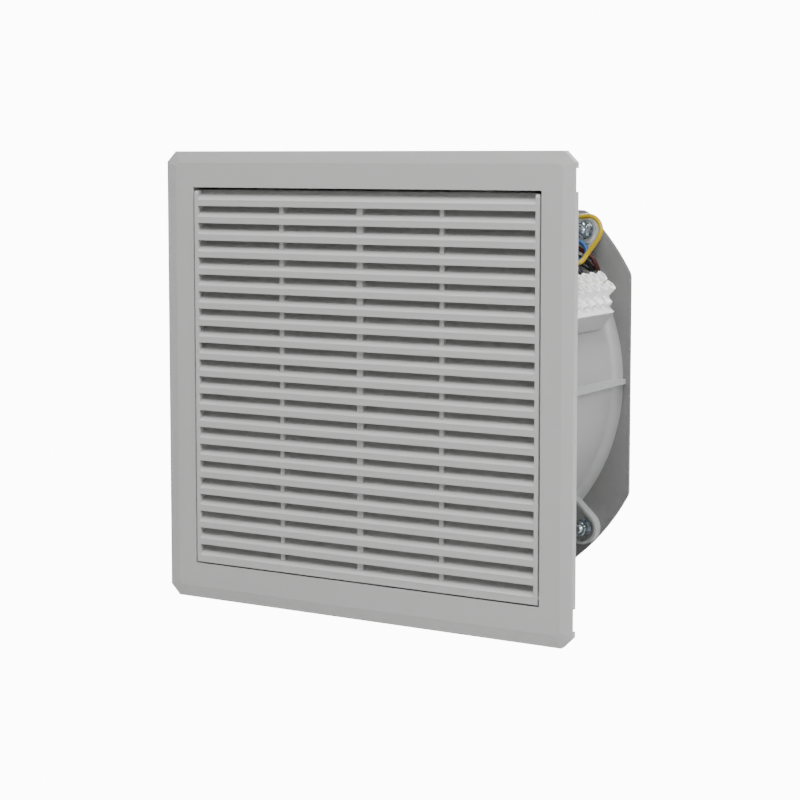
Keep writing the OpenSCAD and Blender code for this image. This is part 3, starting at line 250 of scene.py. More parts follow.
# Materials
def shader(name, colour, rough, metal=0.0, mottle=0.04, mottle_scale=60.0, grain=0.0, grain_scale=3000.0,
           edge_paling=0.0, spec=0.5, coat=0.0, sub=0.0, sheen=0.0, rough_var=0.06, brushed=None, relief=0.0001):
    """A procedural finish: base colour with slow mottling, edges that stand out painted paler, and grain of
    that relief, in metres, in the bump; brushed stretches the grain along the axes."""
    mat = bpy.data.materials.new(name)
    mat.use_nodes = True
    tree = mat.node_tree
    new, wire = tree.nodes.new, tree.links.new
    b = tree.nodes["Principled BSDF"]
    b.inputs["Metallic"].default_value = metal
    b.inputs["Specular IOR Level"].default_value = spec
    b.inputs["Coat Weight"].default_value = coat
    b.inputs["Sheen Weight"].default_value = sheen
    b.inputs["Subsurface Weight"].default_value = sub
    b.inputs["Subsurface Scale"].default_value = 0.002
    place = new("ShaderNodeTexCoord")
    slow = new("ShaderNodeTexNoise")
    slow.inputs["Scale"].default_value = mottle_scale
    slow.inputs["Detail"].default_value = 4
    wire(place.outputs["Object"], slow.inputs["Vector"])
    dark = [c * (1 - mottle) for c in colour] + [1]
    light = [min(1, c * (1 + mottle)) for c in colour] + [1]
    mix = new("ShaderNodeMix")
    mix.data_type = "RGBA"
    mix.inputs["A"].default_value, mix.inputs["B"].default_value = dark, light
    wire(slow.outputs["Fac"], mix.inputs["Factor"])
    colour_out = mix.outputs["Result"]
    if edge_paling:
        # an edge that stands out has a pointiness above one half, and is painted paler
        shape = new("ShaderNodeNewGeometry")
        edge = new("ShaderNodeMapRange")
        edge.inputs["From Min"].default_value, edge.inputs["From Max"].default_value = 0.52, 0.62
        edge.inputs["To Max"].default_value = edge_paling
        wire(shape.outputs["Pointiness"], edge.inputs["Value"])
        paler_edge = new("ShaderNodeMix")
        paler_edge.data_type = "RGBA"
        paler_edge.inputs["B"].default_value = [min(1, c * 1.35 + 0.04) for c in colour] + [1]
        wire(colour_out, paler_edge.inputs["A"])
        wire(edge.outputs["Result"], paler_edge.inputs["Factor"])
        colour_out = paler_edge.outputs["Result"]
    wire(colour_out, b.inputs["Base Color"])
    spread_r = new("ShaderNodeMapRange")
    spread_r.inputs["To Min"].default_value = max(0.02, rough - rough_var)
    spread_r.inputs["To Max"].default_value = min(1, rough + rough_var)
    wire(slow.outputs["Fac"], spread_r.inputs["Value"])
    wire(spread_r.outputs["Result"], b.inputs["Roughness"])
    if grain:
        fine = new("ShaderNodeTexNoise")
        fine.inputs["Scale"].default_value = grain_scale
        fine.inputs["Detail"].default_value = 3
        vector = place.outputs["Object"]
        if brushed:
            stretch = new("ShaderNodeMapping")
            stretch.inputs["Scale"].default_value = brushed
            wire(vector, stretch.inputs["Vector"])
            vector = stretch.outputs["Vector"]
        wire(vector, fine.inputs["Vector"])
        bump = new("ShaderNodeBump")
        bump.inputs["Strength"].default_value = grain
        bump.inputs["Distance"].default_value = relief
        wire(fine.outputs["Fac"], bump.inputs["Height"])
        wire(bump.outputs["Normal"], b.inputs["Normal"])
    return mat


def insulation(name, colour, mottle):
    return shader(name + "_insulation", colour, 0.45, mottle=mottle, grain=0.08, grain_scale=1800, spec=0.3)


finish = {
    "pale": shader("pale_plastic", (0.42, 0.425, 0.418), 0.55, grain=0.18, grain_scale=4200, mottle=0.015,
                   edge_paling=0.15),
    # the pale plastic painted darker: painted shade for the duct and its ears, which lie in shadow behind the
    # flange
    "duct": shader("pale_plastic_shaded", (0.34, 0.348, 0.342), 0.42, grain=0.12, grain_scale=2600, mottle=0.02,
                   edge_paling=0.1),
    "plate": shader("plate_paint", (0.17, 0.172, 0.17), 0.42, grain=0.25, grain_scale=1500, mottle=0.05),
    "guard": shader("guard_paint", (0.03, 0.03, 0.032), 0.38, grain=0.2, grain_scale=1200, mottle=0.1),
    "zinc": shader("zinc_plate", (0.50, 0.56, 0.60), 0.24, metal=1, mottle=0.12, mottle_scale=240,
                   grain=0.25, grain_scale=1800),
    "steel": shader("turned_steel", (0.58, 0.58, 0.60), 0.28, metal=1, mottle=0.08, grain=0.3,
                    grain_scale=900, brushed=(1, 14, 1)),
    "cast": shader("cast_alloy", (0.52, 0.53, 0.55), 0.5, metal=1, mottle=0.08, mottle_scale=180,
                   grain=0.5, grain_scale=1400),
    "core": shader("core_sheet", (0.24, 0.25, 0.27), 0.45, metal=1, mottle=0.15, grain=0.6,
                   grain_scale=120, brushed=(0.02, 30, 0.02)),
    "copper": shader("copper_wire", (0.45, 0.17, 0.06), 0.3, metal=1, mottle=0.15, mottle_scale=300,
                     grain=0.8, grain_scale=900),
    "rotor": shader("rotor_paint", (0.02, 0.02, 0.023), 0.42, grain=0.3, grain_scale=1100, mottle=0.15),
    "blade": shader("blade_plastic", (0.045, 0.047, 0.05), 0.38, grain=0.15, grain_scale=2200, mottle=0.15),
    "white": shader("terminal_white", (0.95, 0.95, 0.94), 0.36, grain=0.08, grain_scale=2500, mottle=0.02,
                    sub=0.15),
    "brass": shader("clamp_brass", (0.70, 0.52, 0.24), 0.28, metal=1, mottle=0.1, mottle_scale=300),
    "rubber": shader("black_rubber", (0.025, 0.025, 0.026), 0.62, grain=0.3, grain_scale=2200, mottle=0.2),
    "nylon": shader("black_nylon", (0.03, 0.03, 0.03), 0.45, grain=0.2, grain_scale=2200, mottle=0.1),
    "clip": shader("clip_plastic", (0.62, 0.63, 0.61), 0.4, grain=0.1, grain_scale=2600, mottle=0.02),
    "foam": shader("gasket_foam", (0.035, 0.035, 0.036), 0.9, grain=1.0, grain_scale=1500, mottle=0.35,
                   mottle_scale=900),
    "fibre": shader("filter_fibre", (0.46, 0.47, 0.46), 0.95, grain=1.0, grain_scale=1500, mottle=0.3,
                    mottle_scale=900, sheen=0.3, brushed=(1, 1, 0.25), relief=0.0008),
    "sheath": shader("cable_sheath", (0.03, 0.03, 0.031), 0.5, grain=0.15, grain_scale=1500, mottle=0.12),
    "yellow": insulation("yellow", (0.36, 0.25, 0.001), 0.06),
    "green": insulation("green", (0.20, 0.22, 0.002), 0.06),
    "blue": insulation("blue", (0.002, 0.045, 0.17), 0.08),
    "brown": insulation("brown", (0.045, 0.006, 0.006), 0.1),
    "black": insulation("black", (0.012, 0.012, 0.013), 0.1),
}


def paint(obj, *names):
    obj.data.materials.clear()
    for n in names:
        obj.data.materials.append(finish[n])


for key, slot, *looks in (
    ("cable", "cable_sheath", "sheath"), ("earth", "earth_insulation", "yellow", "green"),
    ("blue", "blue_insulation", "blue"), ("brown", "brown_insulation", "brown"),
    ("black", "black_insulation", "black"),
):
    paint(cords[key], *looks)

# Mouldings and plates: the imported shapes, each with its edges rounded by a width in mm
for node, width, look, slot in (
    ("front_frame", 0.6, "pale", "pale_plastic"), ("louvre_cover", 0.3, "pale", "cover_plastic"),
    # the duct gets the pale plastic darkened by painted shade
    ("filter_grid", 0.3, "pale", "pale_plastic"), ("fan_duct", 0.5, "duct", "pale_plastic"),
    ("wall_plate", 0.3, "plate", "plate_paint"), ("terminal_block", 0.35, "white", "terminal_white"),
    ("nut_plate", 0.2, "white", "terminal_white"), ("motor_flange", 0.8, "cast", "motor_cast"),
    ("rotor_can", 1.2, "rotor", "rotor_paint"), ("cable_ties", 0.4, "nylon", "black_nylon"),
    ("spring_clip_1", 0.4, "clip", "clip_plastic"), ("spring_clip_2", 0.4, "clip", "clip_plastic"),
    ("spring_clip_3", 0.4, "clip", "clip_plastic"), ("spring_clip_4", 0.4, "clip", "clip_plastic"),
    ("clamp_tubes", 0.15, "brass", "clamp_brass"), ("clip_pins", 0.2, "steel", "steel"),
    ("plain_washers", 0.2, "zinc", "zinc"), ("motor_shaft", 0.4, "steel", "steel"),
    ("shaft_clip", 0.15, "steel", "steel"), ("rotor_ring", 0.2, "core", "core_steel"),
    ("front_bearing", 0.3, "steel", "bearing_steel"), ("rear_bearing", 0.3, "steel", "bearing_steel"),
    ("cable_grommet", 0.4, "rubber", "black_rubber"), ("cable_bush", 0.5, "rubber", "black_rubber"),
):
    # the frame's bevelled faces meet at small angles, which have to stay crisp
    piece = softened(node, width, crease=5) if node == "front_frame" else softened(node, width)
    paint(piece, look)


# Turned, wound and woven pieces
def polar(r, a, y, at=(0, 0)):
    """The point in metres at radius r, angle a and depth y from an axis along Y through at, (x, z), in mm."""
    return (at[0] + r * math.cos(a)) * MM, y * MM, (at[1] + r * math.sin(a)) * MM


def turned(bm, profile, at, steps):
    """A closed profile of (radius, depth) in mm turned about an axis along Y through at, (x, z)."""
    rings = []
    for k in range(steps):
        rings.append([bm.verts.new(polar(r, math.tau * k / steps, y, at)) for r, y in profile])
    n = len(profile)
    for k in range(steps):
        p, q = rings[k], rings[(k + 1) % steps]
        for i in range(n):
            j = (i + 1) % n
            on_axis = profile[i][0] < 1e-6 and profile[j][0] < 1e-6
            if not on_axis:
                bm.faces.new((p[i], p[j], q[j], q[i]))


def finish_mesh(bm, name, body, look, slot, *replaced, angle=32):
    """A piece of bm, which is freed, painted and in place of CAD nodes."""
    bmesh.ops.remove_doubles(bm, verts=bm.verts, dist=WELD / 2)
    bmesh.ops.dissolve_degenerate(bm, edges=bm.edges, dist=WELD / 20)
    obj = link(name, mesh_of(bm, name), body, *replaced)
    smooth(obj, angle)
    paint(obj, look)


def hexagon(bm, at, y0, y1, bore, turn):
    """A hexagon nut or head along Y with chamfered ends, in mm; bore is its hole's radius, or 0."""
    corner, cone, chamfer, lead_in, steps = 5.76, 0.25, 0.5, 0.4, 48
    flat = corner * math.cos(math.pi / 6)
    angles = [math.tau * k / steps for k in range(steps)]
    six = [flat / math.cos(a % (math.pi / 3) - math.pi / 6) for a in angles]

    def ring(y, radii, turn=0.0):
        return [bm.verts.new(polar(r, a + turn, y, at)) for r, a in zip(radii, angles)]

    rings = [ring(y, radii, turn) for y, radii in (
        (y0, [flat - cone] * steps), (y0 + chamfer, six), (y1 - chamfer, six), (y1, [flat - cone] * steps))]
    if bore:
        inner = [ring(y, [r] * steps) for y, r in (
            (y0, bore + lead_in), (y0 + lead_in, bore), (y1 - lead_in, bore), (y1, bore + lead_in))]
    for i in range(3):
        for k in range(steps):
            j = (k + 1) % steps
            bm.faces.new((rings[i][k], rings[i][j], rings[i + 1][j], rings[i + 1][k]))
            if bore:
                bm.faces.new((inner[i][k], inner[i + 1][k], inner[i + 1][j], inner[i][j]))
    if bore:
        shift = round(turn / math.tau * steps)
        for end, hole in ((rings[0], inner[0]), (rings[3], inner[3])):
            for k in range(steps):
                j = (k + 1) % steps
                bm.faces.new((end[k], end[j], hole[(j + shift) % steps], hole[(k + shift) % steps]))
    else:
        bm.faces.new(rings[0])
        bm.faces.new(rings[3])


def thread(r, y0, y1, pitch=1.0, depth=0.32, tip=0.7):
    """The profile of a thread drawn as close grooves, from y0 to y1 with a chamfered tip at y0."""
    line = [(0, y0), (r - tip, y0), (r - depth, y0 + tip)]
    y = y0 + tip
    while y + pitch < y1:
        line += [(r, y + pitch * 0.45), (r, y + pitch * 0.6), (r - depth, y + pitch)]
        y += pitch
    return line + [(r, y1), (0, y1)]


# Bolts, nuts and lock washers of the fan; each nut is turned by an angle of its own
BOLT_TURNS = {(-BOLT_X, -BOLT_Z): 0.8, (-BOLT_X, BOLT_Z): 0.5, (BOLT_X, -BOLT_Z): 0.12, (BOLT_X, BOLT_Z): 0.3}
HEAD_TURN, SPLIT_TURN = 0.4, 0.9  # of a bolt's head and its washer's split, past the nut's turn
BOLT_R, BOLT_TIP_Y, BOLT_HEAD_Y, BOLT_END_Y, BOLT_SINK = 3.0, 107.49, 126.1, 130.09, 0.2
NUT_Y, NUT_END_Y, NUT_BORE = 109.79, 114.8, 2.75
LOCK_SECTION = ((3.15, 114.8), (5.2, 114.8), (5.2, 116.2), (3.15, 116.2))
LOCK_STEPS, LOCK_SPLIT = 60, math.radians(10)

bolts = bmesh.new()
nuts = bmesh.new()
locks = bmesh.new()
for at, turn in BOLT_TURNS.items():
    hexagon(bolts, at, BOLT_HEAD_Y, BOLT_END_Y, 0, turn + HEAD_TURN)
    turned(bolts, thread(BOLT_R, BOLT_TIP_Y, BOLT_HEAD_Y + BOLT_SINK), at, steps=36)
    hexagon(nuts, at, NUT_Y, NUT_END_Y, NUT_BORE, turn)
    # the lock washer is a ring of square section, split so that its ends stand a little apart
    rings = []
    for k in range(LOCK_STEPS + 1):
        a = turn + SPLIT_TURN + LOCK_SPLIT / 2 + (math.tau - LOCK_SPLIT) * k / LOCK_STEPS
        rings.append([locks.verts.new(polar(r, a, y, at)) for r, y in LOCK_SECTION])
    for p, q in zip(rings, rings[1:]):
        for i in range(4):
            locks.faces.new((p[i], p[(i + 1) % 4], q[(i + 1) % 4], q[i]))
    locks.faces.new(rings[0])
    locks.faces.new(reversed(rings[-1]))
finish_mesh(bolts, "fan_bolts_threaded", "housing", "zinc", "zinc", "fan_bolts")
finish_mesh(nuts, "fan_nuts_chamfered", "housing", "zinc", "zinc", "fan_nuts")
finish_mesh(locks, "lock_washers_split", "housing", "zinc", "zinc", "lock_washers")


def cross_screw(bm, frame_of, r, head_r, head_t, y_head, y_tip):
    """A pan-head screw with a cross recess, drawn along +Y: the head's flat side at y_head, its dome
    towards -Y, the tip at y_tip; frame_of turns local mm into row metres."""
    steps, pitch, depth = 32, 0.9, 0.22 * r
    shank, point = 0.6, 0.4
    dome = [(head_r * 0.55, -head_t * 0.96), (head_r * 0.85, -head_t * 0.72),
            (head_r * 0.98, -head_t * 0.35), (head_r, 0.0), (r, 0.0)]
    body = [(p, y_head + d) for p, d in dome]
    y = y_head + shank
    while y + pitch < y_tip - r * 0.8:
        body += [(r, y + 0.35 * pitch), (r, y + 0.5 * pitch), (r - depth, y + pitch)]
        y += pitch
    body += [(r * 0.5, y_tip - point), (0.0, y_tip)]
    rings = []
    for k in range(steps):
        a = math.tau * k / steps
        rings.append([bm.verts.new(frame_of((p * math.cos(a), d, p * math.sin(a)))) for p, d in body])
    for k in range(steps):
        p, q = rings[k], rings[(k + 1) % steps]
        for i in range(len(body) - 1):
            bm.faces.new((p[i], p[i + 1], q[i + 1], q[i]))
    # the dome's cap is filled between its first ring and a cross-shaped hole, which is sunk
    top = y_head - head_t * 0.96
    arm, half = head_r * 0.52, head_r * 0.14
    corners = [(arm, -half), (arm, half), (half, half), (half, arm), (-half, arm), (-half, half),
               (-arm, half), (-arm, -half), (-half, -half), (-half, -arm), (half, -arm), (half, -half)]
    lip = [bm.verts.new(frame_of((x, top, z))) for x, z in corners]
    low = [bm.verts.new(frame_of((x * 0.72, top + head_t * 0.75, z * 0.72))) for x, z in corners]
    edges = []
    for loop in (lip, [ring[0] for ring in rings]):
        for i, v in enumerate(loop):
            w = loop[(i + 1) % len(loop)]
            edges.append(bm.edges.get((v, w)) or bm.edges.new((v, w)))
    bmesh.ops.triangle_fill(bm, edges=edges, use_beauty=True)
    for i in range(12):
        bm.faces.new((lip[i], lip[(i + 1) % 12], low[(i + 1) % 12], low[i]))
    bm.faces.new(low)


def standing(x, z, turn, flip=1):
    """Places a screw at (x, z), in mm, turned about Y; flip -1 turns it round to point along -Y."""
    c, s = math.cos(turn), math.sin(turn)
    return lambda p: Vector((x + p[0] * c - p[2] * s, p[1] * flip, z + p[0] * s + p[2] * c)) * MM


DUCT_SCREW_OUT, DUCT_SCREW_IN = 129.5, 100
duct_screw_mesh = bmesh.new()
random.seed(7)
for sx in (-1, 1):
    for sz in (-1, 1):
        for x, z in ((DUCT_SCREW_OUT, DUCT_SCREW_IN), (DUCT_SCREW_IN, DUCT_SCREW_OUT)):
            cross_screw(duct_screw_mesh, standing(sx * x, sz * z, random.uniform(0, 1.5)),
                        r=1.9, head_r=3.8, head_t=2.4, y_head=29, y_tip=40)
finish_mesh(duct_screw_mesh, "duct_screws_pan_head", "housing", "zinc", "zinc", "duct_screws")

MOTOR_SCREW_CIRCLE = 37
motor_screw_mesh = bmesh.new()
for k in range(4):
    a = k * math.pi / 2
    x, z = MOTOR_SCREW_CIRCLE * math.cos(a), MOTOR_SCREW_CIRCLE * math.sin(a)
    cross_screw(motor_screw_mesh, standing(x, z, random.uniform(0, 1.5), flip=-1),
                r=2.0, head_r=3.6, head_t=2.6, y_head=-148.5, y_tip=-140.4)
finish_mesh(motor_screw_mesh, "motor_screws_pan_head", "housing", "zinc", "zinc", "motor_screws")


def on_platform(tau, y, nu):
    """The point at tau along the terminal block's slanted platform, depth y, and nu from the fan's axis."""
    h = math.sqrt(0.5)
    return Vector(((tau + nu) * h, y, (nu - tau) * h)) * MM


def slotted_screw(bm, tau, y, turn, head_top, head_r, head_t, r, low):
    """A cheese-head screw standing on the platform's normal, its head slotted across."""
    slot_half, slot_deep = head_r * 0.16, head_t * 0.55
    bevel, top_r = 0.3, head_r - 0.2
    steps, arc_steps = 36, 14
    reach = math.acos(slot_half / top_r)
    c, s = math.cos(turn), math.sin(turn)

    def put(x, z, nu):
        return bm.verts.new(on_platform(tau + x * c - z * s, y + x * s + z * c, nu))

    def ring(rr, nu):
        return [put(rr * math.cos(math.tau * k / steps), rr * math.sin(math.tau * k / steps), nu)
                for k in range(steps)]

    edge = ring(head_r, head_top - bevel)
    base = ring(head_r, head_top - head_t)
    neck = ring(r, head_top - head_t)
    tip = ring(r, low)
    for p, q in ((edge, base), (base, neck), (neck, tip)):
        for k in range(steps):
            j = (k + 1) % steps
            bm.faces.new((p[k], p[j], q[j], q[k]))
    bm.faces.new(tip)
    for side in (-1, 1):
        arc = [(side * math.cos(a) * top_r, math.sin(a) * top_r)
               for a in (-reach + 2 * reach * i / arc_steps for i in range(arc_steps + 1))]
        top = [put(x, z, head_top) for x, z in arc]
        rim = [put(x * head_r / top_r, z * head_r / top_r, head_top - bevel) for x, z in arc]
        bm.faces.new(top)
        for i in range(arc_steps):
            bm.faces.new((top[i], top[i + 1], rim[i + 1], rim[i]))
        foot = [put(side * slot_half, z, head_top - slot_deep) for z in (arc[0][1], arc[-1][1])]
        bm.faces.new((top[0], top[-1], foot[1], foot[0]))
    z = top_r * math.sin(reach)
    bm.faces.new([put(x, w, head_top - slot_deep) for x, w in
                  ((-slot_half, -z), (slot_half, -z), (slot_half, z), (-slot_half, z))])


POLES, POLE_PITCH, FIRST_POLE_Y = 5, 13, 49.5
BLOCK_TAU, CLAMP_OFF = 45, 4.5  # the block's middle along the platform, and a clamp screw's distance from it
clamp_mesh = bmesh.new()
for pole in range(POLES):
    for tau in (BLOCK_TAU - CLAMP_OFF, BLOCK_TAU + CLAMP_OFF):
        slotted_screw(clamp_mesh, tau, FIRST_POLE_Y + POLE_PITCH * pole, random.uniform(0, 3),
                      head_top=144.4, head_r=2.3, head_t=2.0, r=1.25, low=137.3)
finish_mesh(clamp_mesh, "clamp_screws_slotted", "housing", "zinc", "zinc", "clamp_screws")
fixing_mesh = bmesh.new()
for between in (0.5, POLES - 1.5):
    slotted_screw(fixing_mesh, BLOCK_TAU, FIRST_POLE_Y + POLE_PITCH * between, random.uniform(0, 3),
                  head_top=138.6, head_r=2.4, head_t=1.6, r=1.5, low=128.4)
finish_mesh(fixing_mesh, "block_screws_slotted", "housing", "zinc", "zinc", "block_screws")

# Guard of round welded wire: rings on eight arms, of which the four diagonal ones bend down to a foot
GUARD_Y, KNEE, FOOT_R, FOOT_Y, SHORT_R = 150.1, 118, 144.2, 127.7, 127.5
RING_COUNT, RING_START, RING_PITCH, RING_STEPS = 7, 50, 11, 144
RING_WIRE_R, ARM_WIRE_R, RING_LIFT = 1.15, 2.0, 2.7
ARM_RADII, SLOPE_RADII, KNEE_EASE = (44, 60, 80, 100, 110, 114), (122, 125), 1.2
SLOPE = math.hypot(FOOT_R - KNEE, GUARD_Y - FOOT_Y)


def guard_depth(r):
    """The depth of an arm's middle at radius r, flat up to the knee and sloping from there."""
    return GUARD_Y if r < KNEE else GUARD_Y - (GUARD_Y - FOOT_Y) * (r - KNEE) / (FOOT_R - KNEE)


def add_tube(bm, line, r, closed=False, sides=12):
    made = tube("part", line, r, sides, closed)
    bm.from_mesh(made)
    bpy.data.meshes.remove(made)


guard = bmesh.new()
for i in range(1, RING_COUNT + 1):
    r = RING_START + RING_PITCH * i
    out = 0 if r < KNEE else RING_LIFT * (GUARD_Y - FOOT_Y) / SLOPE
    back = RING_LIFT if r < KNEE else RING_LIFT * (FOOT_R - KNEE) / SLOPE
    add_tube(guard, [Vector(((r + out) * math.cos(a), guard_depth(r) + back, (r + out) * math.sin(a)))
                     for a in (math.tau * k / RING_STEPS for k in range(RING_STEPS))],
             RING_WIRE_R, closed=True)
for k, foot_turn in enumerate((ARM_TURN, math.pi - ARM_TURN, math.pi + ARM_TURN, -ARM_TURN)):
    for a, end in ((k * math.pi / 2, SHORT_R), (foot_turn, FOOT_R)):
        line = [(r, guard_depth(r)) for r in ARM_RADII]
        # the knee is rounded by two points that lie a little inside it
        line += [(KNEE - KNEE_EASE, GUARD_Y - 0.25), (KNEE + KNEE_EASE, guard_depth(KNEE + KNEE_EASE) - 0.3)]
        line += [(r, guard_depth(r)) for r in (*SLOPE_RADII, end)]
        line = [Vector((r * math.cos(a), y, r * math.sin(a))) for r, y in line]
        add_tube(guard, line, ARM_WIRE_R, sides=16)
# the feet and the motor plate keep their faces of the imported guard, which lie between these depths
FOOT_LOW, FOOT_HIGH = 124, 126.2
PLATE_LOW, PLATE_HIGH, PLATE_R = 145.8, 148.7, 50.2
packed = bmesh.new()
packed.from_mesh(nodes["guard_grille"].data)
bmesh.ops.remove_doubles(packed, verts=packed.verts, dist=WELD)
wires = []
for f in packed.faces:
    ys = [v.co.y / MM for v in f.verts]
    r = max(math.hypot(v.co.x, v.co.z) / MM for v in f.verts)
    foot = max(ys) < FOOT_HIGH and min(ys) > FOOT_LOW
    plate = r < PLATE_R and max(ys) < PLATE_HIGH and min(ys) > PLATE_LOW
    if not (foot or plate):
        wires.append(f)
bmesh.ops.delete(packed, geom=wires, context="FACES")
made = bpy.data.meshes.new("part")
packed.to_mesh(made)
packed.free()
guard.from_mesh(made)
bpy.data.meshes.remove(made)
finish_mesh(guard, "guard_wire", "housing", "guard", "guard_paint", "guard_grille")

# Impeller: a turned hub, (radius, depth), and seven smooth blades
HUB = [(0, 87.5), (44, 87.5), (45.6, 87.75), (47.6, 88.7), (48.9, 90.0), (49.5, 91.6), (49.6, 93),
       (49.6, 127), (49.2, 127.5), (47.4, 127.5), (47, 127), (47, 90), (0, 90)]
BLADES, ROOT_R, TIP_R, BLADE_Y = 7, 48.4, 124.5, 115.5
ROOT_CHORD, TIP_CHORD, ROOT_PITCH, TIP_PITCH, SWEEP = 43, 78, 42, 22, 16
CAMBER, THICK, THINNING, EDGE_SHARE = 5, 2.4, 0.45, 0.004
ROUND_FROM, ROUND_BY = 0.9, 0.10  # shares of the blade and of its chord that round the tip's corners
STATIONS, CHORD_STEPS = 22, 22
impeller = bmesh.new()
turned(impeller, HUB, (0, 0), steps=96)
for b in range(BLADES):
    rows = []
    for k in range(STATIONS + 1):
        t = k / STATIONS
        radius = ROOT_R + (TIP_R - ROOT_R) * t
        rounding = ROUND_BY * max(0, (t - ROUND_FROM) / (1 - ROUND_FROM)) ** 2
        chord = (ROOT_CHORD + (TIP_CHORD - ROOT_CHORD) * t) * (1 - rounding)
        pitch = math.radians(ROOT_PITCH + (TIP_PITCH - ROOT_PITCH) * t)
        sweep = math.radians(SWEEP * t * t)
        ring = []
        for side in (1, -1):
            for j in range(CHORD_STEPS + 1):
                s = j / CHORD_STEPS if side == 1 else 1 - j / CHORD_STEPS
                s = 0.5 - 0.5 * math.cos(math.pi * s)
                x = (s - 0.5) * chord
                half = side * THICK * math.sqrt(max(s * (1 - s), EDGE_SHARE)) * (1 - THINNING * s)
                y = 4 * CAMBER * s * (1 - s) + half
                across = x * math.cos(pitch) - y * math.sin(pitch)
                deep = x * math.sin(pitch) + y * math.cos(pitch)
                a = sweep + across / radius + math.tau * b / BLADES
                ring.append(impeller.verts.new(polar(radius, a, BLADE_Y + deep)))
        rows.append(ring)
    n = len(rows[0])
    for p, q in zip(rows, rows[1:]):
        for j in range(n):
            impeller.faces.new((p[j], p[(j + 1) % n], q[(j + 1) % n], q[j]))
    impeller.faces.new(rows[0])
    impeller.faces.new(reversed(rows[-1]))
finish_mesh(impeller, "impeller_moulded", "rotor", "blade", "blade_plastic", "impeller", angle=40)

# Stator: stacked sheets with slots, and wound coils at both ends
SHEETS, SHEET_PITCH, CORE_Y = 12, 2, 101
TEETH, CORE_R, SLOT_R, CORE_BORE_R = 24, 34.2, 31.5, 13.5
TOOTH = ((0.06, CORE_R), (0.82, CORE_R), (0.82, SLOT_R), (0.94, SLOT_R))
outline = [(r, math.tau * (t + f) / TEETH) for t in range(TEETH) for f, r in TOOTH]
core = bmesh.new()
for sheet in range(SHEETS):
    y0 = CORE_Y + SHEET_PITCH * sheet
    faces_y = (y0 + 0.05, y0 + SHEET_PITCH - 0.1)
    outer = [[core.verts.new(polar(r, a, y)) for r, a in outline] for y in faces_y]
    inner = [[core.verts.new(polar(CORE_BORE_R, a, y)) for _, a in outline] for y in faces_y]
    n = len(outline)
    for i in range(n):
        j = (i + 1) % n
        core.faces.new((outer[0][i], outer[0][j], outer[1][j], outer[1][i]))
        core.faces.new((inner[0][j], inner[0][i], inner[1][i], inner[1][j]))
        core.faces.new((outer[0][j], outer[0][i], inner[0][i], inner[0][j]))
        core.faces.new((outer[1][i], outer[1][j], inner[1][j], inner[1][i]))
finish_mesh(core, "stator_sheets", "housing", "core", "core_steel", "stator_core", angle=20)

COILS, TURNS, TURN_STEPS, WIRE_R = 12, 7, 20, 0.72
FIRST_TURN_R, TURN_PITCH, TURN_HALF_ANGLE, WIDENING = 20.5, 1.55, 0.19, 0.006
TURN_DEEP, TURN_LEAN = 1.7, 0.5
coils = bmesh.new()
for y_mid in (98.5, 127.5):
    for k in range(COILS):
        mid = math.tau * k / COILS
        for turn_no in range(TURNS):
            turn_r, half = FIRST_TURN_R + TURN_PITCH * turn_no, TURN_HALF_ANGLE + WIDENING * turn_no
            line = []
            for i in range(TURN_STEPS):
                a = math.tau * i / TURN_STEPS
                r, around = turn_r + TURN_LEAN * math.sin(a), mid + half * math.cos(a)
                y = y_mid + TURN_DEEP * math.sin(a)
                line.append(Vector((math.cos(around) * r, y, math.sin(around) * r)))
            add_tube(coils, line, WIRE_R, closed=True, sides=6)
finish_mesh(coils, "stator_coils", "housing", "copper", "copper_wire", "stator_windings")

# Filter mat: a block of loose fibre with uneven faces and tufted edges
random.seed(21)
mat = bmesh.new()
side, y0, y1, cells = 135.3, 6.5, 22.5, 90
SKIN, UNEVEN, TUFT, FRAY = 0.7, 0.3, (0.6, 1.6), 0.006
grid = {}
for face, y in ((0, y0 + SKIN), (1, y1 - SKIN)):
    for i in range(cells + 1):
        for j in range(cells + 1):
            edge = i in (0, cells) or j in (0, cells)
            x = -side + 2 * side * i / cells
            z = -side + 2 * side * j / cells
            rough = random.uniform(-UNEVEN, UNEVEN)
            if edge:
                rough = (1 if face == 0 else -1) * random.uniform(*TUFT)
                x *= 1 - random.uniform(0.0, FRAY)
                z *= 1 - random.uniform(0.0, FRAY)
            grid[face, i, j] = mat.verts.new((x * MM, (y + rough) * MM, z * MM))
for face in (0, 1):
    for i in range(cells):
        for j in range(cells):
            square = ((i, j), (i + 1, j), (i + 1, j + 1), (i, j + 1))
            mat.faces.new([grid[face, u, v] for u, v in square])
border = ([(i, 0) for i in range(cells)] + [(cells, j) for j in range(cells)]
          + [(i, cells) for i in range(cells, 0, -1)] + [(0, j) for j in range(cells, 0, -1)])
for a, b in zip(border, border[1:] + border[:1]):
    mat.faces.new((grid[0, a[0], a[1]], grid[0, b[0], b[1]], grid[1, b[0], b[1]], grid[1, a[0], a[1]]))
finish_mesh(mat, "filter_mat_fibre", "housing", "fibre", "filter_fibre", "filter_mat", angle=80)

# Gasket: a foam strip with domed rear edges, its section as (half width of the square, depth)
INNER_H, OUTER_H, DOME, PER_SIDE = 148.125, 157.125, 0.4, 24
section = [(INNER_H, -2.4), (OUTER_H, -2.4), (OUTER_H, -0.25), (OUTER_H - DOME, 0.0),
           (INNER_H + DOME, 0.0), (INNER_H, -0.25)]
CORNERS = [(1, 1), (-1, 1), (-1, -1), (1, -1)]
gasket = bmesh.new()
loops = []
for h, y in section:
    loop = []
    for (ax, az), (bx, bz) in zip(CORNERS, CORNERS[1:] + CORNERS[:1]):
        for t in (k / PER_SIDE for k in range(PER_SIDE)):
            x, z = ax + (bx - ax) * t, az + (bz - az) * t
            loop.append(gasket.verts.new((x * h * MM, y * MM, z * h * MM)))
    loops.append(loop)
n = len(loops[0])
for p, q in zip(loops, loops[1:] + loops[:1]):
    for k in range(n):
        gasket.faces.new((p[k], p[(k + 1) % n], q[(k + 1) % n], q[k]))
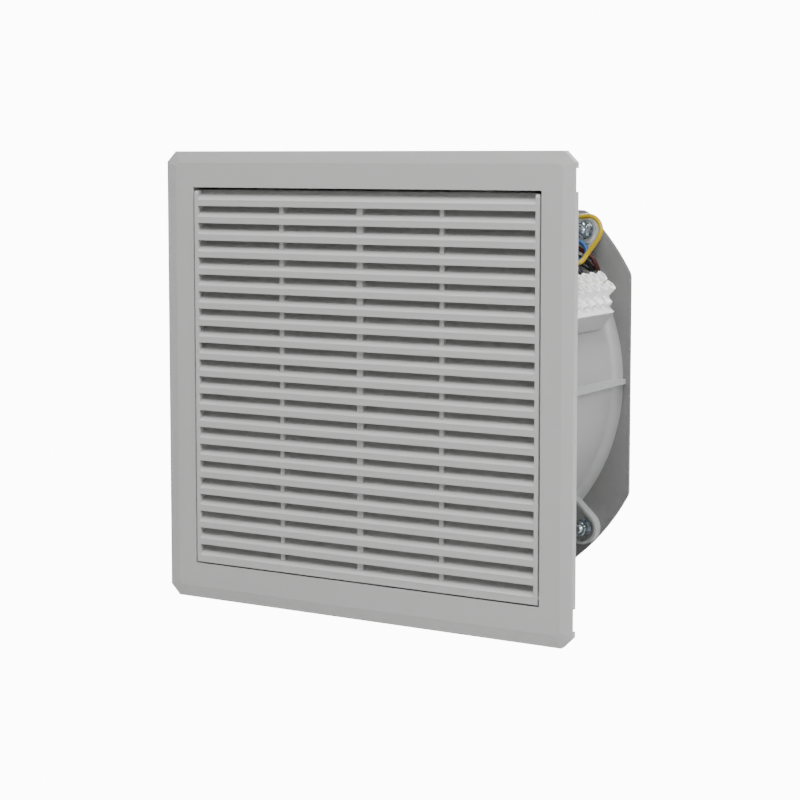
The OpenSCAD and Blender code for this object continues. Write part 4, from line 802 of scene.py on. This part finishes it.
finish_mesh(gasket, "panel_gasket_foam", "housing", "foam", "gasket_foam", "panel_gasket")


# Stage and light: the camera sees floor and background as plain white, and the part gets soft light
def seen_white(tree, lit, glow, output):
    """Camera rays meet glow there, and all other rays meet lit."""
    glow.inputs["Color"].default_value = (1, 1, 1, 1)
    glow.inputs["Strength"].default_value = 12
    path = tree.nodes.new("ShaderNodeLightPath")
    both = tree.nodes.new("ShaderNodeMixShader")
    tree.links.new(path.outputs["Is Camera Ray"], both.inputs["Fac"])
    tree.links.new(lit.outputs[0], both.inputs[1])
    tree.links.new(glow.outputs[0], both.inputs[2])
    tree.links.new(both.outputs["Shader"], tree.nodes[output].inputs["Surface"])


FLOOR_HALF = 12
floor_mesh = bpy.data.meshes.new("floor")
floor_mesh.from_pydata([(x * FLOOR_HALF, y * FLOOR_HALF, 0) for x, y in ((-1, -1), (1, -1), (1, 1), (-1, 1))],
                       [], [(0, 1, 2, 3)])
floor = bpy.data.objects.new("floor", floor_mesh)
bpy.context.scene.collection.objects.link(floor)
floor.location.z = cad_box[0].z
floor_mat = shader("floor_white", (0.5, 0.5, 0.5), 0.9, mottle=0.005, spec=0.1)
floor_tree = floor_mat.node_tree
seen_white(floor_tree, floor_tree.nodes["Principled BSDF"], floor_tree.nodes.new("ShaderNodeEmission"),
           "Material Output")
floor.data.materials.append(floor_mat)

world = bpy.data.worlds.new("world")
bpy.context.scene.world = world
world.use_nodes = True
sky = world.node_tree.nodes["Background"]
sky.inputs["Color"].default_value = (1, 1, 1, 1)
sky.inputs["Strength"].default_value = 0.06
seen_white(world.node_tree, sky, world.node_tree.nodes.new("ShaderNodeBackground"), "World Output")


def lamp(name, at, aim, size, watts):
    """A square area lamp at a point, turned to another, with its side in metres."""
    light = bpy.data.lights.new(name, "AREA")
    light.shape, light.size, light.energy = "SQUARE", size, watts
    obj = bpy.data.objects.new(name, light)
    bpy.context.scene.collection.objects.link(obj)
    obj.location = at
    obj.rotation_euler = (Vector(aim) - Vector(at)).to_track_quat("-Z", "Y").to_euler()


lamp("key", (0.5, -0.8, 1.95), (0, 0, 0), 1.4, 94)
lamp("side", (2.0, -0.3, 0.8), (0.12, 0.05, 0), 0.9, 30)
lamp("rear", (1.4, 1.3, 1.1), (0.1, 0.1, 0), 0.9, 9)
lamp("front", (0.4, -2.6, 0.5), (0, 0, 0), 1.4, 4)
lamp("back", (-0.9, 2.3, 1.0), (0, 0.1, 0), 1.4, 46)
